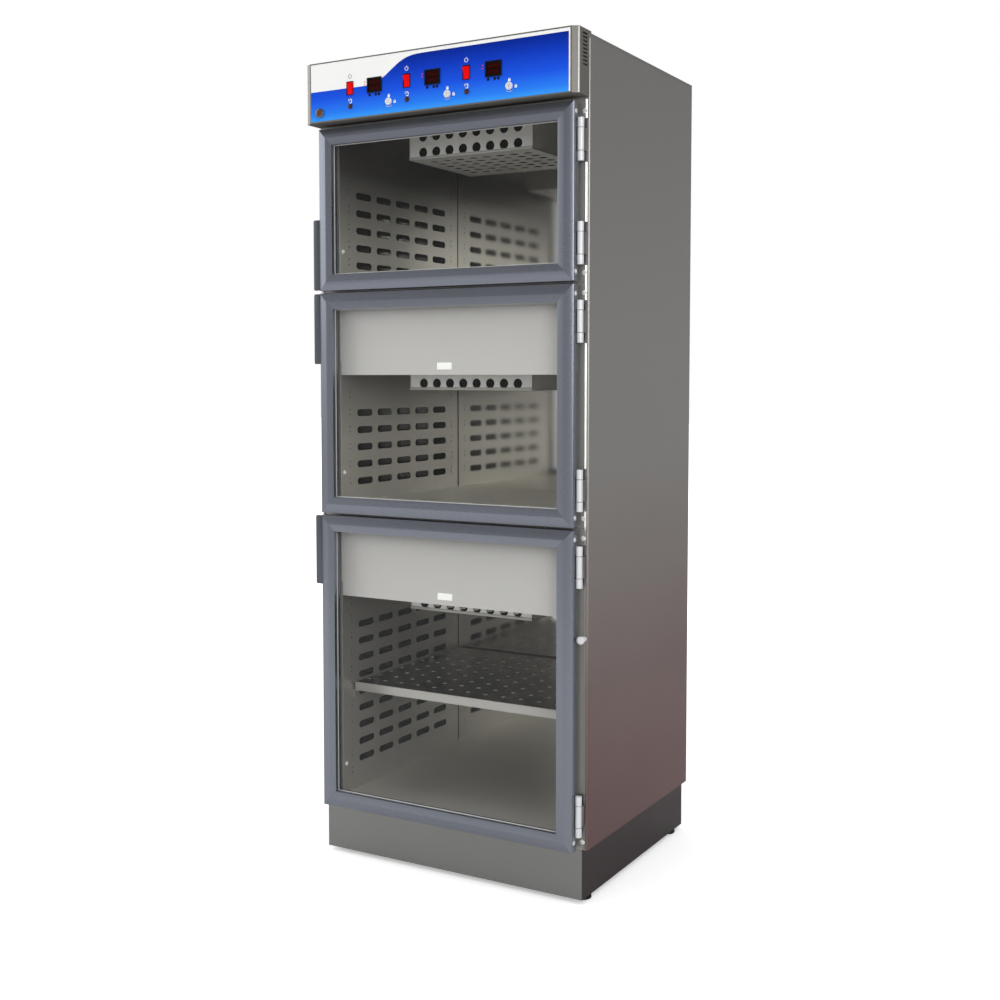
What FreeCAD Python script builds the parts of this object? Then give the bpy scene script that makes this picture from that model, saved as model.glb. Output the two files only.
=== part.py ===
import FreeCAD, Part
import math
import os

# Blanket warming cabinet with three chambers, each behind its own glass door.
# Millimetres, +Z up, +X to the right, -Y to the front. Heights start at the floor.
# While the pieces are made, y = 0 is the front face of the cabinet's frame;
# save() moves every piece by DEPTH_SHIFT, so that the origin lies below the middle.

# --- cabinet body -----------------------------------------------------------
BODY_WIDTH = 762.0
BODY_DEPTH = 610.0
SHEET = 1.5                 # outer sheet metal
LINER_SHEET = 1.5           # inner stainless sheet
TOP_COVER_LIP = 9.0
SIDE_BEND_RADIUS = 6.0      # rounded front edge of the side panels
FRAME_THICKNESS = 2.0
FRAME_SEAM = 1.2            # gap between the three sections of the front frame
FRAME_STILE = 61.5          # from the body's side to the frame's openings
REAR_WALL = 45.0            # from the chambers' back wall to the body's back

# --- base -------------------------------------------------------------------
FOOT_PAD_HEIGHT = 12.0
FOOT_PAD_RADIUS = 20.0
FOOT_PAD_RIM = 7.0
FOOT_NUT_RADIUS = 11.0      # across the corners of the hexagon above the pad
FOOT_NUT_FACES = 6
FOOT_STUD_RADIUS = 6.0
FOOT_STUD_REACH = 34.0      # stud above the pad
FOOT_INSET_X = 34.0         # from the body's side to the foot's axis
FOOT_INSET_Y = 48.0
FOOT_PLATE_THICKNESS = 6.0
FOOT_PLATE_SIZE = 60.0
FOOT_PLATE_LIFT = 8.0       # underside of the foot plate above the base's lower edge
BASE_TOP = 133.0
BASE_INSET = 13.0           # base narrower than the body, each side
BASE_SHEET = 2.0

# --- doors, from the bottom up -----------------------------------------------
CHAMBERS = ("lower", "middle", "upper")
DOOR_HEIGHTS = {"lower": 750.0, "middle": 554.0, "upper": 401.0}
DOOR_BELOW_BODY = 1.0       # lower edge of the lowest door below the body's
DOOR_GAP = 6.0
DOOR_SIDE_MARGIN = 23.5     # from the body's side to the door's edge
MEMBER_WIDTH = 40.5         # width of the door's frame section
RIDGE_OFFSET = 22.5         # from the outer edge to the ridge
FACE_FRONT = 38.0           # ridge in front of the frame plane
OUTER_EDGE_DROP = 4.5       # outer bevel falls back from the ridge
INNER_EDGE_DROP = 2.0       # inner bevel falls back from the ridge
EDGE_CHAMFER = 1.5
DOOR_REAR = 12.0            # rear face of the door in front of the frame plane
GLASS_THICKNESS = 6.0
GLASS_FRONT = 24.0          # front of the glass in front of the frame plane
GROOVE_DEPTH = 7.0
GLASS_CLEARANCE = 0.3
GASKET_OUTER = 8.0          # from the door's outer edge to the gasket
GASKET_WIDTH = 20.0
GASKET_TAPER = 2.0
GASKET_CLEARANCE = 0.3      # closed gasket to the frame

# --- door pulls ---------------------------------------------------------------
PULL_HEIGHT = 176.0
PULL_REACH = 19.0           # beside the door
PULL_PLATE = 3.0
PULL_LEG_DEPTH = 20.0
PULL_CORNER_RADIUS = 4.5
PULL_END_INSET = 1.5
PULL_SET_BACK = 0.5         # behind the outer front edge of the door
PULL_AT_TOP = {"lower": True, "middle": True, "upper": False}

# --- hinges -------------------------------------------------------------------
HINGE_HEIGHT = 96.0
HINGE_END_INSET = 37.0
KNUCKLE_RADIUS = 7.5
HINGE_PIN_RADIUS = 3.0
PIN_CLEARANCE = 0.05
KNUCKLE_GAP = 0.4
SHORT_KNUCKLE = 22.5
DOOR_LEAF = 2.0             # leaf on the door's side
LEAF_RUNNING_GAP = 0.5      # door leaf to the middle knuckle
HINGE_AXIS_REACH = 19.5     # axis in front of the frame plane
FRAME_LEAF = 2.5
FRAME_LEAF_INNER_GAP = 1.5  # frame leaf starts this far beside the door
PLUG_RADIUS = 5.5
PLUG_HEIGHT = 1.5
PLUG_FACES = 12
PLUG_INSET = 22.0
PLUG_REACH = 24.0           # plug's axis in front of the frame plane

# --- door stop on the frame of the lower door ----------------------------------
STOP_RISE = 497.0           # above the lower edge of the lowest door
STOP_BESIDE_AXIS = 4.0
STOP_HEAD_RADIUS = 9.5
STOP_HEAD_THICKNESS = 7.0
STOP_CROWN = 2.5            # step round the knob's face
STOP_STEM_RADIUS = 6.0
STOP_REACH = 25.0

# --- front frame openings and chambers ------------------------------------------
OPENING_MARGIN = 25.0       # opening inside the door's lower and upper edge
DUCT_REVEAL = 1.5           # duct panels inside the opening's sides
DUCT_WIDTH = 27.0           # from a duct panel's face to the liner's side
CEILING_DROP = {"lower": 174.0, "middle": 171.0, "upper": -1.0}  # below the door's upper edge

# --- slotted duct panels -----------------------------------------------------------
SLOT_LENGTH = 68.0
SLOT_HEIGHT = 18.0
SLOT_COLUMNS = 5
SLOT_PITCH_Y = 90.0
SLOT_PITCH_Z = 44.4
SLOT_FIRST_Y = 104.0
SLOT_ROWS = {"lower": 9, "middle": 5, "upper": 5}
SLOT_FIRST_ROW = {"lower": 75.0, "middle": 49.0, "upper": 45.0}  # above the floor
SLOT_END_FACES = 2          # flats that stand for each round slot end
OUTLET_WIDTH = 18.0         # openings from the blower space down into the ducts
OUTLET_LENGTH = 400.0

# --- intake boxes ---------------------------------------------------------------
INTAKE_FRONT = 107.0
INTAKE_DEPTH = 300.0
INTAKE_WIDTH = 356.0
INTAKE_HEIGHT = 72.0        # below the ceiling
INTAKE_HOLE_RADIUS = 11.0
INTAKE_PITCH = 39.0
INTAKE_HOLES = 8
INTAKE_ROWS = 2
INTAKE_FIRST_ROW = 17.0     # lowest row of holes above the box's lower edge
INTAKE_UNDER_HOLES = 8
INTAKE_UNDER_ROWS = 6
HOLE_FACES = 6
INLET_RADIUS = 70.0

# --- blowers ---------------------------------------------------------------------
WHEEL_RADIUS = 76.0
WHEEL_HEIGHT = 44.0
WHEEL_BLADES = 12
BLADE_LENGTH = 22.0
BLADE_THICKNESS = 1.5
BLADE_SLANT = 25.0
HUB_RADIUS = 12.0
HUB_LENGTH = 22.0
SHAFT_GRIP = 28.0           # shaft inside the motor
WHEEL_LIFT = 6.0            # wheel above the compartment floor
WHEEL_PLATE = 3.0
SHAFT_RADIUS = 6.0
SHAFT_CLEARANCE = 0.05
MOTOR_RADIUS = 42.0
MOTOR_HEIGHT = 56.0
BRIDGE_GAP = 8.0            # wheel to the motor bridge
BRIDGE_THICKNESS = 3.0
BRIDGE_HALF_LENGTH = 120.0
BRIDGE_WIDTH = 96.0
HEATER_LENGTH = 340.0
HEATER_WIDTH = 38.0
HEATER_THICKNESS = 6.0
HEATER_FROM_WALL = 95.0     # from the liner's side to the heater's middle
HEATER_POST_WIDTH = 8.0
HEATER_POST_HEIGHT = 16.0
HEATER_POST_INSET = 20.0

# --- blower covers behind the glass -----------------------------------------------
COVER_OVERLAP = 14.0        # cover behind the frame, beside and above the opening
COVER_BELOW_CEILING = 34.0
COVER_FLANGE = 16.0
COVER_CLEARANCE = 0.3

# --- shelf -------------------------------------------------------------------------
SHELF_RISE = 284.0          # above the chamber's floor
SHELF_LIP = 22.0
SHELF_SHEET = 1.5
SHELF_SIDE_GAP = 5.0
SHELF_FRONT = 45.0
SHELF_BACK_GAP = 12.0
SHELF_HOLE_RADIUS = 6.0
SHELF_HOLE_PITCH_X = 78.0
SHELF_HOLE_PITCH_Y = 52.0
SHELF_HOLE_MARGIN = 28.0
CLIP_REACH = 14.0
CLIP_LENGTH = 20.0
CLIP_THICKNESS = 3.0
CLIP_LEG = 20.0
CLIP_INSET = 1.0            # from the shelf's end

# --- temperature probes ---------------------------------------------------------------
PROBE_RADIUS = 3.0
PROBE_REACH = 4.0
PROBE_COLLAR_RADIUS = 6.0
PROBE_COLLAR_THICKNESS = 1.0
PROBE_Y = 14.0
PROBE_HEIGHT = 100.0        # above the door's lower edge

# --- header -------------------------------------------------------------------------
HEADER_GAP = 11.0           # above the upper door
HEADER_HEIGHT = 146.0
HEADER_ABOVE_BODY = 6.0
HEADER_INSET = 2.5          # header narrower than the body, each side
HEADER_REACH = 59.0         # overlay's face in front of the frame plane
HEADER_CHAMFER_X = 14.8
HEADER_CHAMFER_Y = 7.5
HEADER_FLANGE = 9.0
OVERLAY_THICKNESS = 0.5
OVERLAY_MARGIN = 3.5
VENT_SLOTS = 9
VENT_LENGTH = 22.0
VENT_HEIGHT = 4.0
VENT_PITCH = 8.5
VENT_TOP_INSET = 9.0
VENT_CENTRE = 22.0          # in front of the frame plane
WIRING_WIDTH = 420.0
WIRING_HEIGHT = 70.0

# --- controls on the header ----------------------------------------------------------
# Places are measured from the header's left side and from its lower edge.
CONTROL_PITCH = 166.0
ROCKER_ALONG = 137.5
CONTROLLER_ALONG = 210.5
KEY_SWITCH_ALONG = 252.0
RESET_ALONG = 138.5
PANEL_LOCK_ALONG = 45.5
ROCKER_RISE = 74.5
CONTROLLER_RISE = 75.0
LOWER_ROW_RISE = 31.0
MEMBRANE_KEY_RISE = 52.8
PANEL_LOCK_RISE = 23.5
ROCKER_WIDTH = 18.0
ROCKER_LENGTH = 28.0
ROCKER_TILT = 7.0           # degrees each way from level
ROCKER_PIVOT_DEPTH = 4.0    # pivot behind the overlay
ROCKER_SIDE_GAP = 0.3
ROCKER_END_GAP = 1.4
ROCKER_END_RISE = 5.5       # rocker face in front of its pivot, at the ends
ROCKER_MIDDLE_RISE = 3.8
ROCKER_REAR = 4.0           # rocker behind its pivot
SWITCH_WALL = 1.0
SWITCH_CAVITY_DEPTH = 14.0
BEZEL_WIDTH = 22.5
BEZEL_LENGTH = 35.0
BEZEL_PROUD = 1.5
SWITCH_BODY_DEPTH = 24.0
CONTROLLER_WIDTH = 43.0
CONTROLLER_HEIGHT = 36.0
CONTROLLER_PROUD = 2.0
CONTROLLER_BODY_DEPTH = 42.0
CONTROLLER_BODY_INSET = 2.0
DISPLAY_MARGIN = 4.0
DISPLAY_RECESS = 1.0
CUTOUT_CLEARANCE = 0.5
BODY_FACES = 12             # lock and button bodies behind the panel
MEMBRANE_KEY_OFFSETS = (-15.5, 4.5, 13.5)
MEMBRANE_KEY_RADIUS = 2.2
MEMBRANE_KEY_HEIGHT = 0.6
KEY_BARREL_RADIUS = 9.0
KEY_PLUG_RADIUS = 6.0
KEY_PLUG_RECESS = 0.6
KEYHOLE_WIDTH = 1.6
KEYHOLE_LENGTH = 7.0
KEYHOLE_DEPTH = 5.0
LOCK_HEAD = 4.0             # lock barrels in front of the overlay
LOCK_BODY_DEPTH = 20.0
LOCK_BODY_WALL = 1.6
LOCK_CLEARANCE = 0.05
PANEL_BARREL_RADIUS = 11.5
PANEL_PLUG_RADIUS = 8.0
RESET_COLLAR_RADIUS = 6.5
RESET_BUTTON_RADIUS = 4.0
RESET_COLLAR_HEAD = 2.0
RESET_BUTTON_PROUD = 1.9
RESET_BODY_DEPTH = 16.0
RESET_CLEARANCE = 0.05
RESET_BUTTON_LENGTH = 12.0

# --- back and fasteners ------------------------------------------------------------
INLET_ALONG = 131.0         # from the body's side
INLET_BELOW_TOP = 75.0
INLET_PLATE_WIDTH = 200.0   # corner plate of the back that carries the inlet
INLET_PLATE_HEIGHT = 120.0
BACK_SEAM = 0.5
INLET_WIDTH = 50.0
INLET_HEIGHT = 28.0
INLET_FLANGE = 1.5
INLET_BODY_DEPTH = 30.0
INLET_SOCKET_DEPTH = 20.0
INLET_SOCKET_WALL = 5.0
SCREW_HEAD_RADIUS = 6.0
SCREW_HEAD_HEIGHT = 2.0
SCREW_FACES = 8
FRAME_SCREW_EDGE = 12.5     # from the body's side
FRAME_SCREW_INSET = 20.0
BACK_SCREW_ROWS = 4
BACK_SCREW_INSET = 14.0
INSULATION_CLEARANCE = 0.3

# --- sizes that follow from the ones above --------------------------------------------
HALF_BODY = BODY_WIDTH / 2
HALF_DOOR = HALF_BODY - DOOR_SIDE_MARGIN
DOOR_BOTTOM = BASE_TOP - DOOR_BELOW_BODY
DOORS_TOP = DOOR_BOTTOM + sum(DOOR_HEIGHTS.values()) + DOOR_GAP * (len(CHAMBERS) - 1)
HEADER_BOTTOM = DOORS_TOP + HEADER_GAP
HEADER_TOP = HEADER_BOTTOM + HEADER_HEIGHT
HEADER_HALF_WIDTH = HALF_BODY - HEADER_INSET
BODY_TOP = HEADER_TOP - HEADER_ABOVE_BODY
FRONT_REACH = HEADER_REACH + LOCK_HEAD
BACK_REACH = BODY_DEPTH + SCREW_HEAD_HEIGHT
DEPTH_SHIFT = (FRONT_REACH - BACK_REACH) / 2
SIDE_TOP = BODY_TOP - TOP_COVER_LIP
BODY_BOTTOM = BASE_TOP
CHAMBER_FRONT = FRAME_THICKNESS
CHAMBER_BACK = BODY_DEPTH - REAR_WALL
OPENING_HALF_WIDTH = HALF_BODY - FRAME_STILE
DUCT_FACE = OPENING_HALF_WIDTH - DUCT_REVEAL
LINER_HALF_WIDTH = DUCT_FACE + DUCT_WIDTH
HINGE_AXIS_X = HALF_DOOR + DOOR_LEAF + LEAF_RUNNING_GAP + KNUCKLE_RADIUS
HEADER_FACE = -HEADER_REACH + OVERLAY_THICKNESS
INTAKE_MIDDLE_Y = INTAKE_FRONT + INTAKE_DEPTH / 2
HEATER_OFFSET = LINER_HALF_WIDTH - HEATER_FROM_WALL
SHELF_TOP = DOOR_BOTTOM + OPENING_MARGIN + SHELF_RISE
SHELF_BACK = CHAMBER_BACK - SHELF_BACK_GAP
STOP_HEIGHT = DOOR_BOTTOM + STOP_RISE
ROCKER_Z = HEADER_BOTTOM + ROCKER_RISE
CONTROLLER_Z = HEADER_BOTTOM + CONTROLLER_RISE
LOWER_ROW_Z = HEADER_BOTTOM + LOWER_ROW_RISE
MEMBRANE_KEY_Z = HEADER_BOTTOM + MEMBRANE_KEY_RISE
PANEL_LOCK_X = PANEL_LOCK_ALONG - HEADER_HALF_WIDTH
PANEL_LOCK_Z = HEADER_BOTTOM + PANEL_LOCK_RISE
INLET_X = INLET_ALONG - HALF_BODY
INLET_Z = BODY_TOP - INLET_BELOW_TOP


def door_span(chamber):
    """Lower and upper edge of a door."""
    low = DOOR_BOTTOM
    for name in CHAMBERS:
        high = low + DOOR_HEIGHTS[name]
        if name == chamber:
            return low, high
        low = high + DOOR_GAP
    raise ValueError(chamber)


def section_span(chamber):
    """Lower and upper edge of a section of the front frame."""
    low, high = door_span(chamber)
    low = BODY_BOTTOM if chamber == CHAMBERS[0] else low - DOOR_GAP / 2 + FRAME_SEAM / 2
    high = SIDE_TOP if chamber == CHAMBERS[-1] else high + DOOR_GAP / 2 - FRAME_SEAM / 2
    return low, high


def opening_span(chamber):
    """Lower and upper edge of an opening in the front frame."""
    low, high = door_span(chamber)
    return low + OPENING_MARGIN, high - OPENING_MARGIN


def ceiling_of(chamber):
    """Height of a chamber's ceiling, which is also the floor of its blower space."""
    return door_span(chamber)[1] - CEILING_DROP[chamber]


def floor_of(chamber):
    """Height of a chamber's floor."""
    return opening_span(chamber)[0]


# --- small helpers ---------------------------------------------------------------------
def box(x_span, y_span, z_span):
    """Box between pairs of coordinates."""
    size = [span[1] - span[0] for span in (x_span, y_span, z_span)]
    return Part.makeBox(*size, FreeCAD.Vector(x_span[0], y_span[0], z_span[0]))


def rod(radius, start, direction, length):
    """Cylinder that starts at a point and runs along a direction."""
    return Part.makeCylinder(radius, length, FreeCAD.Vector(*start), FreeCAD.Vector(*direction))


def outline(points):
    """Closed face through points."""
    return Part.Face(Part.makePolygon([FreeCAD.Vector(*p) for p in points + points[:1]]))


def prism(points, direction):
    """Solid made by moving a flat outline."""
    return outline(points).extrude(FreeCAD.Vector(*direction))


def faceted_rod(radius, start, direction, length, faces):
    """Regular prism that starts at a point and runs along a direction."""
    along = FreeCAD.Vector(*direction)
    side = FreeCAD.Vector(1, 0, 0) if abs(along.x) < 1 else FreeCAD.Vector(0, 1, 0)
    up = along.cross(side)
    points = []
    for step in range(faces):
        angle = 2 * math.pi * (step + 0.5) / faces
        points.append(tuple(FreeCAD.Vector(*start) + (side * math.cos(angle) + up * math.sin(angle)) * radius))
    return prism(points, tuple(along * length))


def joined(shapes):
    """One solid out of pieces that touch or overlap."""
    return shapes[0].fuse(shapes[1:]).removeSplitter()


def mirrored(shape):
    """Copy on the other side of the cabinet's middle plane."""
    return shape.mirror(FreeCAD.Vector(0, 0, 0), FreeCAD.Vector(1, 0, 0))


def save(name, shapes):
    """Write one sub-part, a solid or a group of them, in its place."""
    group = Part.makeCompound(shapes) if len(shapes) > 1 else shapes[0]
    moved = group.copy()
    moved.translate(FreeCAD.Vector(0, DEPTH_SHIFT, 0))
    moved.exportStep(os.path.join("parts", name + ".step"))


# --- base and feet ------------------------------------------------------------------------
def foot_places():
    """Axes of the four feet."""
    x = HALF_BODY - FOOT_INSET_X
    return [(sx * x, y) for sx in (-1, 1) for y in (FOOT_INSET_Y, BODY_DEPTH - FOOT_INSET_Y)]


def foot_plate(x, y):
    """Plate that ties a foot's stud to the two plinth walls beside it."""
    half = HALF_BODY - BASE_INSET - BASE_SHEET / 2
    side = math.copysign(1, x)
    x_span = sorted((x - side * FOOT_PLATE_SIZE / 2, side * half))
    if y < BODY_DEPTH / 2:
        y_span = (BASE_SHEET / 2, y + FOOT_PLATE_SIZE / 2)
    else:
        y_span = (y - FOOT_PLATE_SIZE / 2, BODY_DEPTH - BASE_SHEET / 2)
    low = FOOT_PAD_HEIGHT + FOOT_PLATE_LIFT
    return box(x_span, y_span, (low, low + FOOT_PLATE_THICKNESS))


def base_plinth():
    """Folded sheet plinth, open below, with a deck and a plate over each foot."""
    half = HALF_BODY - BASE_INSET
    outer = box((-half, half), (0, BODY_DEPTH), (FOOT_PAD_HEIGHT, BASE_TOP))
    inner = box((BASE_SHEET - half, half - BASE_SHEET), (BASE_SHEET, BODY_DEPTH - BASE_SHEET),
                (0, BASE_TOP - BASE_SHEET))
    plates = [foot_plate(x, y) for x, y in foot_places()]
    holes = [rod(FOOT_STUD_RADIUS + SHAFT_CLEARANCE, (x, y, 0), (0, 0, 1), FOOT_STUD_REACH)
             for x, y in foot_places()]
    return joined([outer.cut(inner)] + plates).cut(holes)


def levelling_foot(x, y):
    """Round pad with a hexagon and a stud that screws into its foot plate."""
    pad = rod(FOOT_PAD_RADIUS, (x, y, 0), (0, 0, 1), FOOT_PAD_RIM)
    nut = faceted_rod(FOOT_NUT_RADIUS, (x, y, FOOT_PAD_RIM), (0, 0, 1), FOOT_PAD_HEIGHT - FOOT_PAD_RIM,
                      FOOT_NUT_FACES)
    stud = rod(FOOT_STUD_RADIUS, (x, y, FOOT_PAD_RIM), (0, 0, 1), FOOT_STUD_REACH - FOOT_PAD_RIM)
    return joined([pad, nut, stud])


# --- outer casing ---------------------------------------------------------------------
def side_panel():
    """Right side panel with its rounded front edge."""
    edge = HALF_BODY - SIDE_BEND_RADIUS
    z_span = (BODY_BOTTOM, SIDE_TOP)
    height = SIDE_TOP - BODY_BOTTOM
    wall = box((HALF_BODY - SHEET, HALF_BODY), (SIDE_BEND_RADIUS, BODY_DEPTH), z_span)
    corner = (edge, SIDE_BEND_RADIUS, BODY_BOTTOM)
    bend = rod(SIDE_BEND_RADIUS, corner, (0, 0, 1), height)
    bend = bend.cut(rod(SIDE_BEND_RADIUS - SHEET, corner, (0, 0, 1), height))
    bend = bend.common(box((edge, HALF_BODY), (0, SIDE_BEND_RADIUS), z_span))
    return joined([wall, bend])


def back_plate(x_span, z_span):
    """Plate in the plane of the cabinet's back."""
    return box(x_span, (BODY_DEPTH - SHEET, BODY_DEPTH), z_span)


def back_panel():
    """Back between the side panels: a tall plate and the plate beside the power inlet."""
    half = HALF_BODY - SHEET
    seam = SIDE_TOP - INLET_PLATE_HEIGHT
    tall = back_plate((-half, half), (BODY_BOTTOM, seam))
    short = back_plate((INLET_PLATE_WIDTH + BACK_SEAM - half, half), (seam + BACK_SEAM, SIDE_TOP))
    return [tall, short]


def inlet_plate():
    """Corner plate of the back, with the cut-out for the power inlet."""
    half = HALF_BODY - SHEET
    plate = back_plate((-half, INLET_PLATE_WIDTH - half),
                       (SIDE_TOP - INLET_PLATE_HEIGHT + BACK_SEAM, SIDE_TOP))
    return plate.cut(inlet_block(CUTOUT_CLEARANCE))


def top_cover():
    """Shallow pan with its lips flush over the casing."""
    outer = box((-HALF_BODY, HALF_BODY), (0, BODY_DEPTH), (SIDE_TOP, BODY_TOP))
    half = HALF_BODY - SHEET
    inner = box((-half, half), (SHEET, BODY_DEPTH - SHEET), (SIDE_TOP, BODY_TOP - SHEET))
    return outer.cut(inner)


def frame_section(chamber):
    """Section of the bright front frame around one opening."""
    half = HALF_BODY - SIDE_BEND_RADIUS
    plate = box((-half, half), (0, FRAME_THICKNESS), section_span(chamber))
    cuts = [box((-OPENING_HALF_WIDTH, OPENING_HALF_WIDTH), (0, FRAME_THICKNESS),
                opening_span(chamber))]
    if chamber == CHAMBERS[-1]:
        middle = (HEADER_BOTTOM + HEADER_TOP) / 2
        cuts.append(box((-WIRING_WIDTH / 2, WIRING_WIDTH / 2), (0, FRAME_THICKNESS),
                        (middle - WIRING_HEIGHT / 2, middle + WIRING_HEIGHT / 2)))
    return plate.cut(cuts)


def insulation():
    """Slabs of mineral wool beside and behind the chambers."""
    gap = INSULATION_CLEARANCE
    inner = LINER_HALF_WIDTH + LINER_SHEET + gap
    outer = HALF_BODY - SHEET - gap
    back = CHAMBER_BACK + LINER_SHEET + gap
    z_span = (BASE_TOP + gap, SIDE_TOP - gap)
    side = box((inner, outer), (SIDE_BEND_RADIUS + gap, back - gap), z_span)
    rear = box((-outer, outer), (back, BODY_DEPTH - SHEET - gap), z_span)
    return [side, mirrored(side), rear.cut(inlet_block(CUTOUT_CLEARANCE))]


# --- chambers --------------------------------------------------------------------------
def chamber_liner(chamber):
    """Stainless box, open in front, with openings to the blower space above it."""
    low, high = floor_of(chamber), ceiling_of(chamber)
    half = LINER_HALF_WIDTH
    shell = box((-half - LINER_SHEET, half + LINER_SHEET), (CHAMBER_FRONT, CHAMBER_BACK + LINER_SHEET),
                (low - LINER_SHEET, high + LINER_SHEET))
    hollow = box((-half, half), (CHAMBER_FRONT, CHAMBER_BACK), (low, high))
    inlet = rod(INLET_RADIUS, (0, INTAKE_MIDDLE_Y, high), (0, 0, 1), LINER_SHEET)
    duct_middle = (DUCT_FACE + LINER_SHEET + half) / 2
    outlet = box((duct_middle - OUTLET_WIDTH / 2, duct_middle + OUTLET_WIDTH / 2),
                 (INTAKE_MIDDLE_Y - OUTLET_LENGTH / 2, INTAKE_MIDDLE_Y + OUTLET_LENGTH / 2),
                 (high, high + LINER_SHEET))
    cuts = [hollow, inlet, outlet, mirrored(outlet)]
    if has_cover(chamber):
        notch = DUCT_FACE
        cuts.append(box((-notch, notch), (CHAMBER_FRONT, CHAMBER_FRONT + SHEET + COVER_CLEARANCE),
                        (high, high + LINER_SHEET)))
    return shell.cut(cuts)


def slot_cutter(y, z):
    """Long slot with faceted round ends, through the right duct panel."""
    radius = SLOT_HEIGHT / 2
    middle = SLOT_LENGTH / 2 - radius
    points = []
    for end in (1, -1):
        for step in range(SLOT_END_FACES + 1):
            angle = end * (math.pi / 2 - math.pi * step / SLOT_END_FACES)
            points.append((DUCT_FACE, y + end * (middle + radius * math.cos(angle)),
                           z + radius * math.sin(angle)))
    return prism(points, (LINER_SHEET, 0, 0))


def duct_panel(chamber):
    """Right slotted panel that closes the air duct along a chamber's side."""
    low, high = floor_of(chamber), ceiling_of(chamber)
    panel = box((DUCT_FACE, DUCT_FACE + LINER_SHEET), (CHAMBER_FRONT, CHAMBER_BACK), (low, high))
    first = low + SLOT_FIRST_ROW[chamber]
    slots = [slot_cutter(SLOT_FIRST_Y + column * SLOT_PITCH_Y, first + row * SLOT_PITCH_Z)
             for row in range(SLOT_ROWS[chamber]) for column in range(SLOT_COLUMNS)]
    return panel.cut(slots)


def intake_box(chamber):
    """Perforated box below the ceiling, open upwards, over the blower's inlet."""
    high = ceiling_of(chamber)
    low = high - INTAKE_HEIGHT
    half = INTAKE_WIDTH / 2
    back = INTAKE_FRONT + INTAKE_DEPTH
    outer = box((-half, half), (INTAKE_FRONT, back), (low, high))
    inner = box((LINER_SHEET - half, half - LINER_SHEET),
                (INTAKE_FRONT + LINER_SHEET, back - LINER_SHEET), (low + LINER_SHEET, high))
    holes = []
    for column in range(INTAKE_HOLES):
        x = (column - (INTAKE_HOLES - 1) / 2) * INTAKE_PITCH
        for row in range(INTAKE_ROWS):
            z = low + INTAKE_FIRST_ROW + row * INTAKE_PITCH
            holes.append(faceted_rod(INTAKE_HOLE_RADIUS, (x, INTAKE_FRONT, z), (0, 1, 0), LINER_SHEET,
                                     HOLE_FACES))
    for column in range(INTAKE_UNDER_HOLES):
        x = (column - (INTAKE_UNDER_HOLES - 1) / 2) * INTAKE_PITCH
        for row in range(INTAKE_UNDER_ROWS):
            y = INTAKE_MIDDLE_Y + (row - (INTAKE_UNDER_ROWS - 1) / 2) * INTAKE_PITCH
            holes.append(faceted_rod(INTAKE_HOLE_RADIUS, (x, y, low), (0, 0, 1), LINER_SHEET, HOLE_FACES))
    return outer.cut(inner).cut(holes)


def temperature_probe(chamber):
    """Probe tip in its collar, low at the front of the left duct panel."""
    start = (-DUCT_FACE, PROBE_Y, door_span(chamber)[0] + PROBE_HEIGHT)
    collar = faceted_rod(PROBE_COLLAR_RADIUS, start, (1, 0, 0), PROBE_COLLAR_THICKNESS, SCREW_FACES)
    tip = faceted_rod(PROBE_RADIUS, start, (1, 0, 0), PROBE_REACH, SCREW_FACES)
    return joined([collar, tip])


# --- blowers -----------------------------------------------------------------------------
def blower_floor(chamber):
    """Upper face of a chamber's ceiling sheet."""
    return ceiling_of(chamber) + LINER_SHEET


def bridge_underside(chamber):
    """Height of the motor bridge above its blower wheel."""
    return blower_floor(chamber) + WHEEL_LIFT + WHEEL_HEIGHT + BRIDGE_GAP


def blower_wheel(chamber):
    """Blower wheel: slanted blades under a back plate, with hub and shaft."""
    low = blower_floor(chamber) + WHEEL_LIFT
    high = low + WHEEL_HEIGHT
    centre = FreeCAD.Vector(0, INTAKE_MIDDLE_Y, 0)
    up = FreeCAD.Vector(0, 0, 1)
    plate = rod(WHEEL_RADIUS, (0, INTAKE_MIDDLE_Y, high - WHEEL_PLATE), up, WHEEL_PLATE)
    hub = rod(HUB_RADIUS, (0, INTAKE_MIDDLE_Y, high - HUB_LENGTH), up, HUB_LENGTH)
    shaft_top = bridge_underside(chamber) + BRIDGE_THICKNESS + SHAFT_GRIP
    shaft = rod(SHAFT_RADIUS, (0, INTAKE_MIDDLE_Y, high - WHEEL_PLATE), up,
                shaft_top - high + WHEEL_PLATE)
    pieces = [plate, hub, shaft]
    for step in range(WHEEL_BLADES):
        blade = box((-BLADE_LENGTH, 0), (-BLADE_THICKNESS / 2, BLADE_THICKNESS / 2), (low, high - WHEEL_PLATE))
        blade.rotate(FreeCAD.Vector(0, 0, 0), up, BLADE_SLANT)
        blade.translate(centre + FreeCAD.Vector(WHEEL_RADIUS - BLADE_THICKNESS, 0, 0))
        blade.rotate(centre, up, 360 * step / WHEEL_BLADES)
        pieces.append(blade)
    return joined(pieces)


def motor_bridge(chamber):
    """Bent plate that stands over the wheel and carries the motor."""
    floor = blower_floor(chamber)
    under = bridge_underside(chamber)
    y_span = (INTAKE_MIDDLE_Y - BRIDGE_WIDTH / 2, INTAKE_MIDDLE_Y + BRIDGE_WIDTH / 2)
    half = BRIDGE_HALF_LENGTH
    plate = box((-half, half), y_span, (under, under + BRIDGE_THICKNESS))
    leg = box((half - BRIDGE_THICKNESS, half), y_span, (floor, under))
    bridge = joined([plate, leg, mirrored(leg)])
    return bridge.cut(rod(HUB_RADIUS, (0, INTAKE_MIDDLE_Y, under), (0, 0, 1), BRIDGE_THICKNESS))


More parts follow.
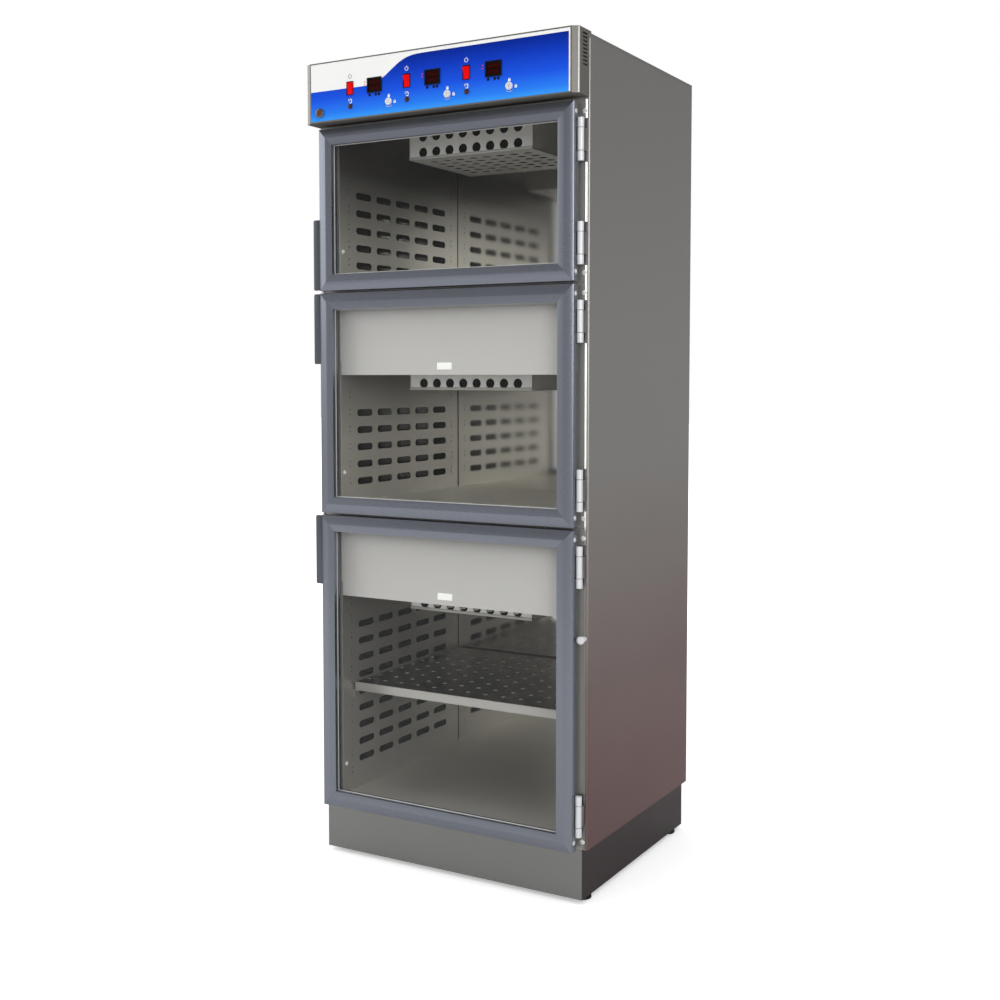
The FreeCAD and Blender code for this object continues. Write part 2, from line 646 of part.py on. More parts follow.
def blower_motor(chamber):
    """Motor can with a bore for the wheel's shaft."""
    low = bridge_underside(chamber) + BRIDGE_THICKNESS
    start = (0, INTAKE_MIDDLE_Y, low)
    can = rod(MOTOR_RADIUS, start, (0, 0, 1), MOTOR_HEIGHT)
    bore = rod(SHAFT_RADIUS + SHAFT_CLEARANCE, start, (0, 0, 1), SHAFT_GRIP + COVER_CLEARANCE)
    return can.cut(bore)


def strip_heater(chamber):
    """Right strip heater on two posts in the blower space."""
    floor = blower_floor(chamber)
    y_span = (INTAKE_MIDDLE_Y - HEATER_LENGTH / 2, INTAKE_MIDDLE_Y + HEATER_LENGTH / 2)
    low = floor + HEATER_POST_HEIGHT
    strip = box((HEATER_OFFSET - HEATER_WIDTH / 2, HEATER_OFFSET + HEATER_WIDTH / 2), y_span,
                (low, low + HEATER_THICKNESS))
    x_span = (HEATER_OFFSET - HEATER_POST_WIDTH / 2, HEATER_OFFSET + HEATER_POST_WIDTH / 2)
    posts = [box(x_span, (y - HEATER_POST_WIDTH / 2, y + HEATER_POST_WIDTH / 2), (floor, low))
             for y in (y_span[0] + HEATER_POST_INSET, y_span[1] - HEATER_POST_INSET)]
    return joined([strip] + posts)


def has_cover(chamber):
    """Whether a chamber's blower space is closed by a cover behind the glass."""
    return ceiling_of(chamber) < opening_span(chamber)[1]


def cover_bottom(chamber):
    """Lower edge of a blower cover."""
    return ceiling_of(chamber) - COVER_BELOW_CEILING


def blower_cover(chamber):
    """Sheet cover on the frame's rear face, with a flange along its lower edge."""
    low = cover_bottom(chamber)
    floor = blower_floor(chamber) + COVER_CLEARANCE
    narrow = DUCT_FACE - COVER_CLEARANCE
    wide = OPENING_HALF_WIDTH + COVER_OVERLAP
    front, back = CHAMBER_FRONT, CHAMBER_FRONT + SHEET
    lower_plate = box((-narrow, narrow), (front, back), (low, floor))
    upper_plate = box((-wide, wide), (front, back), (floor, opening_span(chamber)[1] + COVER_OVERLAP))
    flange = box((-narrow, narrow), (front, front + COVER_FLANGE), (low, low + SHEET))
    return joined([lower_plate, upper_plate, flange])


# --- shelf ------------------------------------------------------------------------------
def shelf():
    """Perforated tray with lips turned down on all four sides."""
    half = DUCT_FACE - SHELF_SIDE_GAP
    outer = box((-half, half), (SHELF_FRONT, SHELF_BACK), (SHELF_TOP - SHELF_LIP, SHELF_TOP))
    inner = box((SHELF_SHEET - half, half - SHELF_SHEET),
                (SHELF_FRONT + SHELF_SHEET, SHELF_BACK - SHELF_SHEET),
                (SHELF_TOP - SHELF_LIP, SHELF_TOP - SHELF_SHEET))
    rows = int((SHELF_BACK - SHELF_FRONT - 2 * SHELF_HOLE_MARGIN) // SHELF_HOLE_PITCH_Y) + 1
    columns = int((2 * half - 2 * SHELF_HOLE_MARGIN) // SHELF_HOLE_PITCH_X) + 1
    middle_y = (SHELF_FRONT + SHELF_BACK) / 2
    holes = []
    for row in range(rows):
        stagger = row % 2
        y = middle_y + (row - (rows - 1) / 2) * SHELF_HOLE_PITCH_Y
        for column in range(columns - stagger):
            x = (column - (columns - stagger - 1) / 2) * SHELF_HOLE_PITCH_X
            holes.append(faceted_rod(SHELF_HOLE_RADIUS, (x, y, SHELF_TOP - SHELF_SHEET), (0, 0, 1),
                                     SHELF_SHEET, HOLE_FACES))
    return outer.cut(inner).cut(holes)


def shelf_clip(y):
    """Right clip: a tab below the shelf's lip and a leg against the duct panel."""
    seat = SHELF_TOP - SHELF_LIP
    y_span = (y, y + CLIP_LENGTH)
    tab = box((DUCT_FACE - CLIP_REACH, DUCT_FACE), y_span, (seat - CLIP_THICKNESS, seat))
    leg = box((DUCT_FACE - CLIP_THICKNESS, DUCT_FACE), y_span, (seat - CLIP_LEG, seat))
    return joined([tab, leg])


def shelf_clips():
    """Four clips, two each side."""
    right = [shelf_clip(SHELF_FRONT + CLIP_INSET), shelf_clip(SHELF_BACK - CLIP_INSET - CLIP_LENGTH)]
    return right + [mirrored(clip) for clip in right]


# --- doors ------------------------------------------------------------------------------
def mitred_members(profile, chamber):
    """Four members of one section, mitred at the corners.

    The profile's points are (distance inwards from the door's edge, y)."""
    low, high = door_span(chamber)
    front = -FACE_FRONT
    across = prism([(-HALF_DOOR, y, low + u) for u, y in profile], (2 * HALF_DOOR, 0, 0))
    mitre = prism([(-HALF_DOOR, front, low), (HALF_DOOR, front, low), (0, front, low + HALF_DOOR)],
                  (0, FACE_FRONT, 0))
    bottom = across.common(mitre)
    top = bottom.mirror(FreeCAD.Vector(0, 0, (low + high) / 2), FreeCAD.Vector(0, 0, 1))
    upright = prism([(HALF_DOOR - u, y, low) for u, y in profile], (0, 0, high - low))
    reach = (high - low) / 2
    mitre = prism([(HALF_DOOR, front, low), (HALF_DOOR, front, high),
                   (HALF_DOOR - reach, front, low + reach)], (0, FACE_FRONT, 0))
    right = upright.common(mitre)
    return [bottom, right, top, mirrored(right)]


def door_frame(chamber):
    """Aluminium door frame: ridged face, glass groove and four mitred corners."""
    outer_edge = -FACE_FRONT + OUTER_EDGE_DROP
    groove_front = -GLASS_FRONT - GLASS_CLEARANCE
    groove_back = -GLASS_FRONT + GLASS_THICKNESS + GLASS_CLEARANCE
    groove = MEMBER_WIDTH - GROOVE_DEPTH
    profile = [
        (0, -DOOR_REAR),
        (0, outer_edge + EDGE_CHAMFER),
        (EDGE_CHAMFER, outer_edge - EDGE_CHAMFER * OUTER_EDGE_DROP / RIDGE_OFFSET),
        (RIDGE_OFFSET, -FACE_FRONT),
        (MEMBER_WIDTH, -FACE_FRONT + INNER_EDGE_DROP),
        (MEMBER_WIDTH, groove_front),
        (groove, groove_front),
        (groove, groove_back),
        (MEMBER_WIDTH, groove_back),
        (MEMBER_WIDTH, -DOOR_REAR),
    ]
    return mitred_members(profile, chamber)


def door_gasket(chamber):
    """Soft magnetic gasket on the door's rear face."""
    inner = GASKET_OUTER + GASKET_WIDTH
    profile = [
        (GASKET_OUTER, -DOOR_REAR),
        (GASKET_OUTER + GASKET_TAPER, -GASKET_CLEARANCE),
        (inner - GASKET_TAPER, -GASKET_CLEARANCE),
        (inner, -DOOR_REAR),
    ]
    return joined(mitred_members(profile, chamber))


def door_glass(chamber):
    """Glass pane in the groove of the frame."""
    low, high = door_span(chamber)
    inset = MEMBER_WIDTH - GROOVE_DEPTH + GLASS_CLEARANCE
    half = HALF_DOOR - inset
    return box((-half, half), (-GLASS_FRONT, -GLASS_FRONT + GLASS_THICKNESS), (low + inset, high - inset))


def door_pull(chamber):
    """Angle pull on the left side of a door, with rounded outer corners."""
    low, high = door_span(chamber)
    bottom = high - PULL_END_INSET - PULL_HEIGHT if PULL_AT_TOP[chamber] else low + PULL_END_INSET
    z_span = (bottom, bottom + PULL_HEIGHT)
    front = -FACE_FRONT + OUTER_EDGE_DROP + PULL_SET_BACK
    plate = box((-HALF_DOOR - PULL_REACH, -HALF_DOOR), (front, front + PULL_PLATE), z_span)
    corners = [edge for edge in plate.Edges if edge.BoundBox.XMax < -HALF_DOOR - PULL_REACH / 2
               and edge.BoundBox.YLength > edge.BoundBox.ZLength]
    plate = plate.makeFillet(PULL_CORNER_RADIUS, corners)
    leg = box((-HALF_DOOR - PULL_PLATE, -HALF_DOOR), (front, front + PULL_LEG_DEPTH), z_span)
    return joined([plate, leg])


# --- hinges -----------------------------------------------------------------------------
def hinge_bottoms(chamber):
    """Lower ends of a door's two hinges."""
    low, high = door_span(chamber)
    return [low + HINGE_END_INSET, high - HINGE_END_INSET - HINGE_HEIGHT]


def door_hinge(bottom):
    """Leaf on the door's side with its two short knuckles."""
    rear = -DOOR_REAR - LEAF_RUNNING_GAP
    front = -FACE_FRONT + OUTER_EDGE_DROP + EDGE_CHAMFER
    top = bottom + HINGE_HEIGHT
    leaf = box((HALF_DOOR, HALF_DOOR + DOOR_LEAF), (front, rear), (bottom, top))
    pieces = [leaf]
    bores = []
    knuckle_front = -HINGE_AXIS_REACH - KNUCKLE_RADIUS
    for start in (bottom, top - SHORT_KNUCKLE):
        axis_point = (HINGE_AXIS_X, -HINGE_AXIS_REACH, start)
        pieces.append(rod(KNUCKLE_RADIUS, axis_point, (0, 0, 1), SHORT_KNUCKLE))
        pieces.append(box((HALF_DOOR + DOOR_LEAF / 2, HINGE_AXIS_X),
                          (knuckle_front, knuckle_front + FRAME_LEAF), (start, start + SHORT_KNUCKLE)))
        bores.append(rod(HINGE_PIN_RADIUS + PIN_CLEARANCE, axis_point, (0, 0, 1), SHORT_KNUCKLE))
    return joined(pieces).cut(bores)


def frame_hinge(bottom):
    """Leaf on the frame with its web, middle knuckle and pin."""
    top = bottom + HINGE_HEIGHT
    outer = HINGE_AXIS_X + KNUCKLE_RADIUS
    middle_span = (bottom + SHORT_KNUCKLE + KNUCKLE_GAP, top - SHORT_KNUCKLE - KNUCKLE_GAP)
    leaf = box((HALF_DOOR + FRAME_LEAF_INNER_GAP, outer), (-FRAME_LEAF, 0), (bottom, top))
    web = box((outer - FRAME_LEAF, outer), (-HINGE_AXIS_REACH, -FRAME_LEAF / 2), middle_span)
    knuckle = rod(KNUCKLE_RADIUS, (HINGE_AXIS_X, -HINGE_AXIS_REACH, middle_span[0]), (0, 0, 1),
                  middle_span[1] - middle_span[0])
    pin = rod(HINGE_PIN_RADIUS, (HINGE_AXIS_X, -HINGE_AXIS_REACH, bottom), (0, 0, 1), HINGE_HEIGHT)
    return joined([leaf, web, knuckle, pin])


def corner_plugs(chamber):
    """Round plugs over the corner screws, on the door's side faces."""
    low, high = door_span(chamber)
    heights = [low + PLUG_INSET, high - PLUG_INSET]
    free = heights[0] if PULL_AT_TOP[chamber] else heights[1]
    plugs = [faceted_rod(PLUG_RADIUS, (HALF_DOOR, -PLUG_REACH, z), (1, 0, 0), PLUG_HEIGHT, PLUG_FACES)
             for z in heights]
    plugs.append(faceted_rod(PLUG_RADIUS, (-HALF_DOOR, -PLUG_REACH, free), (-1, 0, 0), PLUG_HEIGHT,
                             PLUG_FACES))
    return plugs


def door_stop():
    """Turned knob on a stem, on the frame beside the lower door."""
    neck = STOP_REACH - STOP_HEAD_THICKNESS
    crown = STOP_HEAD_RADIUS - STOP_CROWN
    profile = [(0, 0), (STOP_STEM_RADIUS, 0), (STOP_STEM_RADIUS, neck), (STOP_HEAD_RADIUS, neck),
               (STOP_HEAD_RADIUS, STOP_REACH - STOP_CROWN), (crown, STOP_REACH - STOP_CROWN),
               (crown, STOP_REACH), (0, STOP_REACH)]
    x = HINGE_AXIS_X + STOP_BESIDE_AXIS
    half = outline([(x + radius, -reach, STOP_HEIGHT) for radius, reach in profile])
    return half.revolve(FreeCAD.Vector(x, 0, STOP_HEIGHT), FreeCAD.Vector(0, 1, 0), 360)


# --- header -----------------------------------------------------------------------------
def header_prism(inset, z_span):
    """Block with the header's outline, set in by a wall; the rear stays at y = 0."""
    half = HEADER_HALF_WIDTH - inset
    slope = math.hypot(HEADER_CHAMFER_X, HEADER_CHAMFER_Y)
    front = HEADER_FACE + inset
    chamfer_y = inset * (slope - HEADER_CHAMFER_Y) / HEADER_CHAMFER_X
    chamfer_x = inset * (slope - HEADER_CHAMFER_X) / HEADER_CHAMFER_Y
    corner_y = HEADER_FACE + HEADER_CHAMFER_Y + chamfer_y
    corner_x = HEADER_HALF_WIDTH - HEADER_CHAMFER_X - chamfer_x
    right = [(half, 0), (half, corner_y), (corner_x, front)]
    points = right + [(-x, y) for x, y in reversed(right)]
    return prism([(x, y, z_span[0]) for x, y in points], (0, 0, z_span[1] - z_span[0]))


def vent_slots():
    """Cutters for the slots in the header's right side."""
    slots = []
    for index in range(VENT_SLOTS):
        top = HEADER_TOP - VENT_TOP_INSET - index * VENT_PITCH
        slots.append(box((HEADER_HALF_WIDTH - SHEET, HEADER_HALF_WIDTH),
                         (-VENT_CENTRE - VENT_LENGTH / 2, -VENT_CENTRE + VENT_LENGTH / 2),
                         (top - VENT_HEIGHT, top)))
    return slots


def control_cutouts():
    """Cutters through the header's face and overlay, one for each control."""
    cuts = []
    for group in range(len(CHAMBERS)):
        cuts.append(rocker_body(group, CUTOUT_CLEARANCE))
        cuts.append(controller_body(group, CUTOUT_CLEARANCE))
        for x, radius in ((key_switch_x(group), KEY_PLUG_RADIUS + LOCK_BODY_WALL),
                          (reset_x(group), RESET_BUTTON_RADIUS + LOCK_BODY_WALL)):
            cuts.append(faceted_rod(radius + CUTOUT_CLEARANCE, (x, -HEADER_REACH, LOWER_ROW_Z), (0, 1, 0),
                                    LOCK_BODY_DEPTH, BODY_FACES))
    cuts.append(faceted_rod(PANEL_PLUG_RADIUS + LOCK_BODY_WALL + CUTOUT_CLEARANCE,
                            (PANEL_LOCK_X, -HEADER_REACH, PANEL_LOCK_Z), (0, 1, 0), LOCK_BODY_DEPTH,
                            BODY_FACES))
    return cuts


def header_box():
    """Folded control box, open to the rear, with side vents and a rear flange."""
    wall = SHEET
    shell = header_prism(0, (HEADER_BOTTOM, HEADER_TOP))
    shell = shell.cut(header_prism(wall, (HEADER_BOTTOM + wall, HEADER_TOP - wall)))
    flange = box((-HEADER_HALF_WIDTH, HEADER_HALF_WIDTH), (0, HEADER_FLANGE), (BODY_TOP, HEADER_TOP))
    return joined([shell, flange]).cut(control_cutouts() + vent_slots())


def control_overlay():
    """Printed sheet over the header's front face."""
    half = HEADER_HALF_WIDTH - HEADER_CHAMFER_X - OVERLAY_MARGIN
    sheet = box((-half, half), (-HEADER_REACH, HEADER_FACE),
                (HEADER_BOTTOM + OVERLAY_MARGIN, HEADER_TOP - OVERLAY_MARGIN))
    return sheet.cut(control_cutouts())


# --- controls -----------------------------------------------------------------------------
def rocker_x(group):
    """Middle of a power rocker."""
    return ROCKER_ALONG - HEADER_HALF_WIDTH + group * CONTROL_PITCH


def controller_x(group):
    """Middle of a temperature controller."""
    return CONTROLLER_ALONG - HEADER_HALF_WIDTH + group * CONTROL_PITCH


def key_switch_x(group):
    """Axis of a key switch."""
    return KEY_SWITCH_ALONG - HEADER_HALF_WIDTH + group * CONTROL_PITCH


def reset_x(group):
    """Axis of a reset button."""
    return RESET_ALONG - HEADER_HALF_WIDTH + group * CONTROL_PITCH


def facing_block(x, z, width, height, y_span):
    """Block behind or in front of the overlay, centred on a place of the panel."""
    return box((x - width / 2, x + width / 2), y_span, (z - height / 2, z + height / 2))


def rocker_body(group, clearance):
    """Switch body behind the panel, or its cut-out."""
    width = ROCKER_WIDTH + 2 * (ROCKER_SIDE_GAP + SWITCH_WALL + clearance)
    length = ROCKER_LENGTH + 2 * (ROCKER_END_GAP + SWITCH_WALL + clearance)
    return facing_block(rocker_x(group), ROCKER_Z, width, length,
                        (-HEADER_REACH, -HEADER_REACH + SWITCH_BODY_DEPTH))


def rocker_housing(group):
    """Switch body with its bezel and the well that the rocker turns in."""
    bezel = facing_block(rocker_x(group), ROCKER_Z, BEZEL_WIDTH, BEZEL_LENGTH,
                         (-HEADER_REACH - BEZEL_PROUD, -HEADER_REACH))
    well = facing_block(rocker_x(group), ROCKER_Z, ROCKER_WIDTH + 2 * ROCKER_SIDE_GAP,
                        ROCKER_LENGTH + 2 * ROCKER_END_GAP,
                        (-HEADER_REACH - BEZEL_PROUD, -HEADER_REACH + SWITCH_CAVITY_DEPTH))
    return joined([bezel, rocker_body(group, 0)]).cut(well)


def rocker(group):
    """Red rocker in its off position, tilted about its pivot."""
    half = ROCKER_LENGTH / 2
    pivot_y = -HEADER_REACH + ROCKER_PIVOT_DEPTH
    left = rocker_x(group) - ROCKER_WIDTH / 2
    section = [(half, ROCKER_END_RISE), (0, ROCKER_MIDDLE_RISE), (-half, ROCKER_END_RISE),
               (-half, 0), (-half / 2, -ROCKER_REAR), (half / 2, -ROCKER_REAR), (half, 0)]
    body = prism([(left, pivot_y - rise, ROCKER_Z + along) for along, rise in section],
                 (ROCKER_WIDTH, 0, 0))
    body.rotate(FreeCAD.Vector(left, pivot_y, ROCKER_Z), FreeCAD.Vector(1, 0, 0), ROCKER_TILT)
    return body


def controller_body(group, clearance):
    """Controller case behind the panel, or its cut-out."""
    shrink = 2 * (CONTROLLER_BODY_INSET - clearance)
    return facing_block(controller_x(group), CONTROLLER_Z, CONTROLLER_WIDTH - shrink,
                        CONTROLLER_HEIGHT - shrink,
                        (-HEADER_REACH, -HEADER_REACH + CONTROLLER_BODY_DEPTH))


def temperature_controller(group):
    """Controller with a front bezel and a recessed display."""
    front = -HEADER_REACH - CONTROLLER_PROUD
    bezel = facing_block(controller_x(group), CONTROLLER_Z, CONTROLLER_WIDTH, CONTROLLER_HEIGHT,
                         (front, -HEADER_REACH))
    recess = facing_block(controller_x(group), CONTROLLER_Z, CONTROLLER_WIDTH - 2 * DISPLAY_MARGIN,
                          CONTROLLER_HEIGHT - 2 * DISPLAY_MARGIN, (front, front + DISPLAY_RECESS))
    return joined([bezel, controller_body(group, 0)]).cut(recess)


def membrane_keys(group):
    """Three domed keys of a controller, raised on the overlay."""
    return [faceted_rod(MEMBRANE_KEY_RADIUS, (controller_x(group) + offset, -HEADER_REACH, MEMBRANE_KEY_Z),
                        (0, -1, 0), MEMBRANE_KEY_HEIGHT, SCREW_FACES) for offset in MEMBRANE_KEY_OFFSETS]


def lock_barrel(x, z, head_radius, plug_radius):
    """Fixed barrel of a lock, with a blind bore for its plug."""
    front = -HEADER_REACH - LOCK_HEAD
    head = rod(head_radius, (x, front, z), (0, 1, 0), LOCK_HEAD)
    body = faceted_rod(plug_radius + LOCK_BODY_WALL, (x, -HEADER_REACH, z), (0, 1, 0), LOCK_BODY_DEPTH,
                       BODY_FACES)
    bore = rod(plug_radius + LOCK_CLEARANCE, (x, front, z), (0, 1, 0),
               LOCK_HEAD + LOCK_BODY_DEPTH - LOCK_BODY_WALL)
    return joined([head, body]).cut(bore)


def lock_plug(x, z, plug_radius):
    """Turning plug with a keyhole."""
    front = -HEADER_REACH - LOCK_HEAD + KEY_PLUG_RECESS
    length = LOCK_HEAD - KEY_PLUG_RECESS + LOCK_BODY_DEPTH - LOCK_BODY_WALL - COVER_CLEARANCE
    plug = rod(plug_radius, (x, front, z), (0, 1, 0), length)
    keyhole = facing_block(x, z, KEYHOLE_WIDTH, KEYHOLE_LENGTH, (front, front + KEYHOLE_DEPTH))
    return plug.cut(keyhole)


def reset_collar(group):
    """Fixed collar of a reset button, with a blind bore."""
    x = reset_x(group)
    front = -HEADER_REACH - RESET_COLLAR_HEAD
    head = rod(RESET_COLLAR_RADIUS, (x, front, LOWER_ROW_Z), (0, 1, 0), RESET_COLLAR_HEAD)
    body = faceted_rod(RESET_BUTTON_RADIUS + LOCK_BODY_WALL, (x, -HEADER_REACH, LOWER_ROW_Z), (0, 1, 0),
                       RESET_BODY_DEPTH, BODY_FACES)
    bore = rod(RESET_BUTTON_RADIUS + RESET_CLEARANCE, (x, front, LOWER_ROW_Z), (0, 1, 0),
               RESET_COLLAR_HEAD + RESET_BODY_DEPTH - LOCK_BODY_WALL)
    return joined([head, body]).cut(bore)


def reset_button(group):
    """Round button that slides in its collar."""
    front = -HEADER_REACH - RESET_COLLAR_HEAD - RESET_BUTTON_PROUD
    return rod(RESET_BUTTON_RADIUS, (reset_x(group), front, LOWER_ROW_Z), (0, 1, 0),
               RESET_BUTTON_LENGTH)


# --- back and fasteners ------------------------------------------------------------------
def inlet_block(clearance):
    """Body of the power inlet, or its cut-out through back panel and insulation."""
    width = INLET_WIDTH - 4 * INLET_FLANGE + 2 * clearance
    height = INLET_HEIGHT - 4 * INLET_FLANGE + 2 * clearance
    return facing_block(INLET_X, INLET_Z, width, height, (BODY_DEPTH - INLET_BODY_DEPTH - clearance,
                                                          BODY_DEPTH))


def power_inlet():
    """Three-pole power inlet in the back panel, with an empty socket."""
    flange = facing_block(INLET_X, INLET_Z, INLET_WIDTH, INLET_HEIGHT,
                          (BODY_DEPTH, BODY_DEPTH + INLET_FLANGE))
    socket = facing_block(INLET_X, INLET_Z, INLET_WIDTH - 4 * INLET_SOCKET_WALL,
                          INLET_HEIGHT - 2 * INLET_SOCKET_WALL,
                          (BODY_DEPTH - INLET_SOCKET_DEPTH, BODY_DEPTH + INLET_FLANGE))
    return joined([flange, inlet_block(0)]).cut(socket)


def screw_head(x, y, z, direction):
    """Faceted pan head."""
    return faceted_rod(SCREW_HEAD_RADIUS, (x, y, z), (0, direction, 0), SCREW_HEAD_HEIGHT, SCREW_FACES)


def frame_screws():
    """Screws down both sides of the front frame."""
    screws = []
    for chamber in CHAMBERS:
        low, high = door_span(chamber)
        for z in (low + FRAME_SCREW_INSET, high - FRAME_SCREW_INSET):
            screws += [screw_head(side * (HALF_BODY - FRAME_SCREW_EDGE), 0, z, -1) for side in (-1, 1)]
    return screws


def back_screws():
    """Screws down both sides of the back panel."""
    first = BODY_BOTTOM + BACK_SCREW_INSET * 2
    pitch = (SIDE_TOP - BODY_BOTTOM - 4 * BACK_SCREW_INSET) / (BACK_SCREW_ROWS - 1)
    x = HALF_BODY - SHEET - BACK_SCREW_INSET
    return [screw_head(side * x, BODY_DEPTH, first + index * pitch, 1)
            for side in (-1, 1) for index in range(BACK_SCREW_ROWS)]


# --- the cabinet -----------------------------------------------------------------------
def save_casing():
    """Base, panels, frame and insulation."""
    save("base_plinth", [base_plinth()])
    for name, (x, y) in zip(("front_left", "front_right", "rear_left", "rear_right"),
                            sorted(foot_places(), key=lambda place: (place[1], place[0]))):
        save("foot_" + name, [levelling_foot(x, y)])
    right = side_panel()
    save("side_panels", [right, mirrored(right)])
    save("back_panel", back_panel())
    save("top_cover", [top_cover()])
    save("front_frame", [frame_section(chamber) for chamber in CHAMBERS])
    save("insulation", insulation())
    save("panel_screws", frame_screws() + back_screws())
    save("power_inlet", [power_inlet(), inlet_plate()])
    save("door_stop", [door_stop()])


def save_chambers():
    """Liners, ducts, blowers, heaters, covers and the shelf."""
    for chamber in CHAMBERS:
        save("liner_" + chamber, [chamber_liner(chamber)])
        save("blower_wheel_" + chamber, [blower_wheel(chamber)])
    ducts = [duct_panel(chamber) for chamber in CHAMBERS]
    save("duct_panels", ducts + [mirrored(duct) for duct in ducts])
    save("intake_boxes", [intake_box(chamber) for chamber in CHAMBERS])
    save("temperature_probes", [temperature_probe(chamber) for chamber in CHAMBERS])
    save("motor_bridges", [motor_bridge(chamber) for chamber in CHAMBERS])
    save("blower_motors", [blower_motor(chamber) for chamber in CHAMBERS])
    heaters = [strip_heater(chamber) for chamber in CHAMBERS]
    save("strip_heaters", heaters + [mirrored(heater) for heater in heaters])
    covered = [chamber for chamber in CHAMBERS if has_cover(chamber)]
    save("blower_covers", [blower_cover(chamber) for chamber in covered])
    save("shelf", [shelf()])
    save("shelf_clips", shelf_clips())


def save_doors():
    """Three doors with their glass, gasket, pull and hinges."""
    frame_side = []
    for chamber in CHAMBERS:
        save("door_frame_" + chamber, door_frame(chamber))
        save("door_glass_" + chamber, [door_glass(chamber)])
        save("door_gasket_" + chamber, [door_gasket(chamber)])
        save("door_pull_" + chamber, [door_pull(chamber)])
        leaves = [door_hinge(bottom) for bottom in hinge_bottoms(chamber)]
        save("door_hinges_" + chamber, leaves + corner_plugs(chamber))
        frame_side += [frame_hinge(bottom) for bottom in hinge_bottoms(chamber)]
    save("frame_hinges", frame_side)


def save_header():
    """Header box, overlay and every control on it."""
    save("header_box", [header_box()])
    groups = range(len(CHAMBERS))
    save("control_overlay", [control_overlay()] + [key for group in groups for key in membrane_keys(group)])
    save("rocker_housings", [rocker_housing(group) for group in groups])
    save("temperature_controllers", [temperature_controller(group) for group in groups])
    save("reset_collars", [reset_collar(group) for group in groups])
    barrels = [lock_barrel(key_switch_x(group), LOWER_ROW_Z, KEY_BARREL_RADIUS, KEY_PLUG_RADIUS)
               for group in groups]
    barrels.append(lock_barrel(PANEL_LOCK_X, PANEL_LOCK_Z, PANEL_BARREL_RADIUS, PANEL_PLUG_RADIUS))
    save("lock_barrels", barrels)
    save("panel_lock", [lock_plug(PANEL_LOCK_X, PANEL_LOCK_Z, PANEL_PLUG_RADIUS)])
    for group, chamber in enumerate(reversed(CHAMBERS)):
        save("power_rocker_" + chamber, [rocker(group)])
        save("key_switch_" + chamber, [lock_plug(key_switch_x(group), LOWER_ROW_Z, KEY_PLUG_RADIUS)])
        save("reset_button_" + chamber, [reset_button(group)])


def main():
    """Build and write the whole cabinet."""
    os.makedirs("parts", exist_ok=True)
    save_casing()
    save_chambers()
    save_doors()
    save_header()


main()
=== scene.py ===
"""Looks of a three-chamber blanket warming cabinet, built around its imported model.

Lengths in the classes are millimetres in the cabinet's drawing frame: +Z up from the
floor, +X to the right, y = 0 on the front face of the cabinet's frame, -Y to the front.
Draft.finish_as() turns them into metres in the model's own frame.
"""
from __future__ import annotations

import logging
import math
from dataclasses import dataclass, field
from enum import Enum
from typing import Iterable, Sequence
import bmesh  # noqa: E402
import bpy  # noqa: E402
from mathutils import Matrix, Vector  # noqa: E402
from mathutils.geometry import delaunay_2d_cdt  # noqa: E402


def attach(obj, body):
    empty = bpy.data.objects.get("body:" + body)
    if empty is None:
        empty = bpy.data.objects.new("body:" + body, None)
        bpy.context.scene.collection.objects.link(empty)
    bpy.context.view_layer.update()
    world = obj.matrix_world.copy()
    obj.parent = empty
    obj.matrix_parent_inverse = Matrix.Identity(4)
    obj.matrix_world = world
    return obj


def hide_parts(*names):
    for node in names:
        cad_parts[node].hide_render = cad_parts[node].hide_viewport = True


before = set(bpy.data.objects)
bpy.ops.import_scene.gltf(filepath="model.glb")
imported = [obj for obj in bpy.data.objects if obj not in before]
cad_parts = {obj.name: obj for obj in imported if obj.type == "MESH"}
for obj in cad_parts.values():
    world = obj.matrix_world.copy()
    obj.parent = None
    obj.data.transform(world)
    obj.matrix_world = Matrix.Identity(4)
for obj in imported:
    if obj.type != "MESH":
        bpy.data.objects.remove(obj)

LOG = logging.getLogger("warming_cabinet")
Point = tuple[float, float, float]
Flat = tuple[float, float]
Span = tuple[float, float]
Colour = tuple[float, float, float, float]

MM = 0.001
DEPTH_SHIFT = -274.5        # the drawing's y = 0 in the model's frame
CHAMBERS = ("lower", "middle", "upper")
DOOR_SPANS = {"lower": (132.0, 882.0), "middle": (888.0, 1442.0), "upper": (1448.0, 1849.0)}
FLOORS = {"lower": 157.0, "middle": 913.0, "upper": 1473.0}
CEILINGS = {"lower": 708.0, "middle": 1271.0, "upper": 1850.0}
SLOT_ROWS = {"lower": 9, "middle": 5, "upper": 5}
SLOT_RISES = {"lower": 75.0, "middle": 49.0, "upper": 45.0}     # the lowest row over the floor
SHARP_EDGE = math.radians(32)
RIGHT, BACKWARD, UP = (1.0, 0.0, 0.0), (0.0, 1.0, 0.0), (0.0, 0.0, 1.0)
LEFT, FORWARD = (-1.0, 0.0, 0.0), (0.0, -1.0, 0.0)
WHITE = (1.0, 1.0, 1.0, 1.0)
NOISE_RANGE = (0.3, 0.7)    # where most values of a noise lie


def linear(code: str) -> Colour:
    """Turn a six-digit colour code into linear red, green, blue and alpha."""
    channels = [int(code[i:i + 2], 16) / 255 for i in (0, 2, 4)]
    return (*[c / 12.92 if c <= 0.04045 else ((c + 0.055) / 1.055) ** 2.4 for c in channels], 1.0)


def scaled(colour: Sequence[float], factor: float) -> Colour:
    """Return a colour with its brightness multiplied and its alpha kept."""
    return (*[min(c * factor, 1.0) for c in colour[:3]], 1.0)


# --- finishes ---------------------------------------------------------------------
class Grain(Enum):
    """Direction in which a surface is brushed or drawn, as noise cycles per metre."""

    ACROSS = (6.0, 1500.0, 1500.0)
    DEEP = (1500.0, 6.0, 1500.0)
    UPRIGHT = (1500.0, 1500.0, 6.0)
    EVEN = (1100.0, 1100.0, 1100.0)


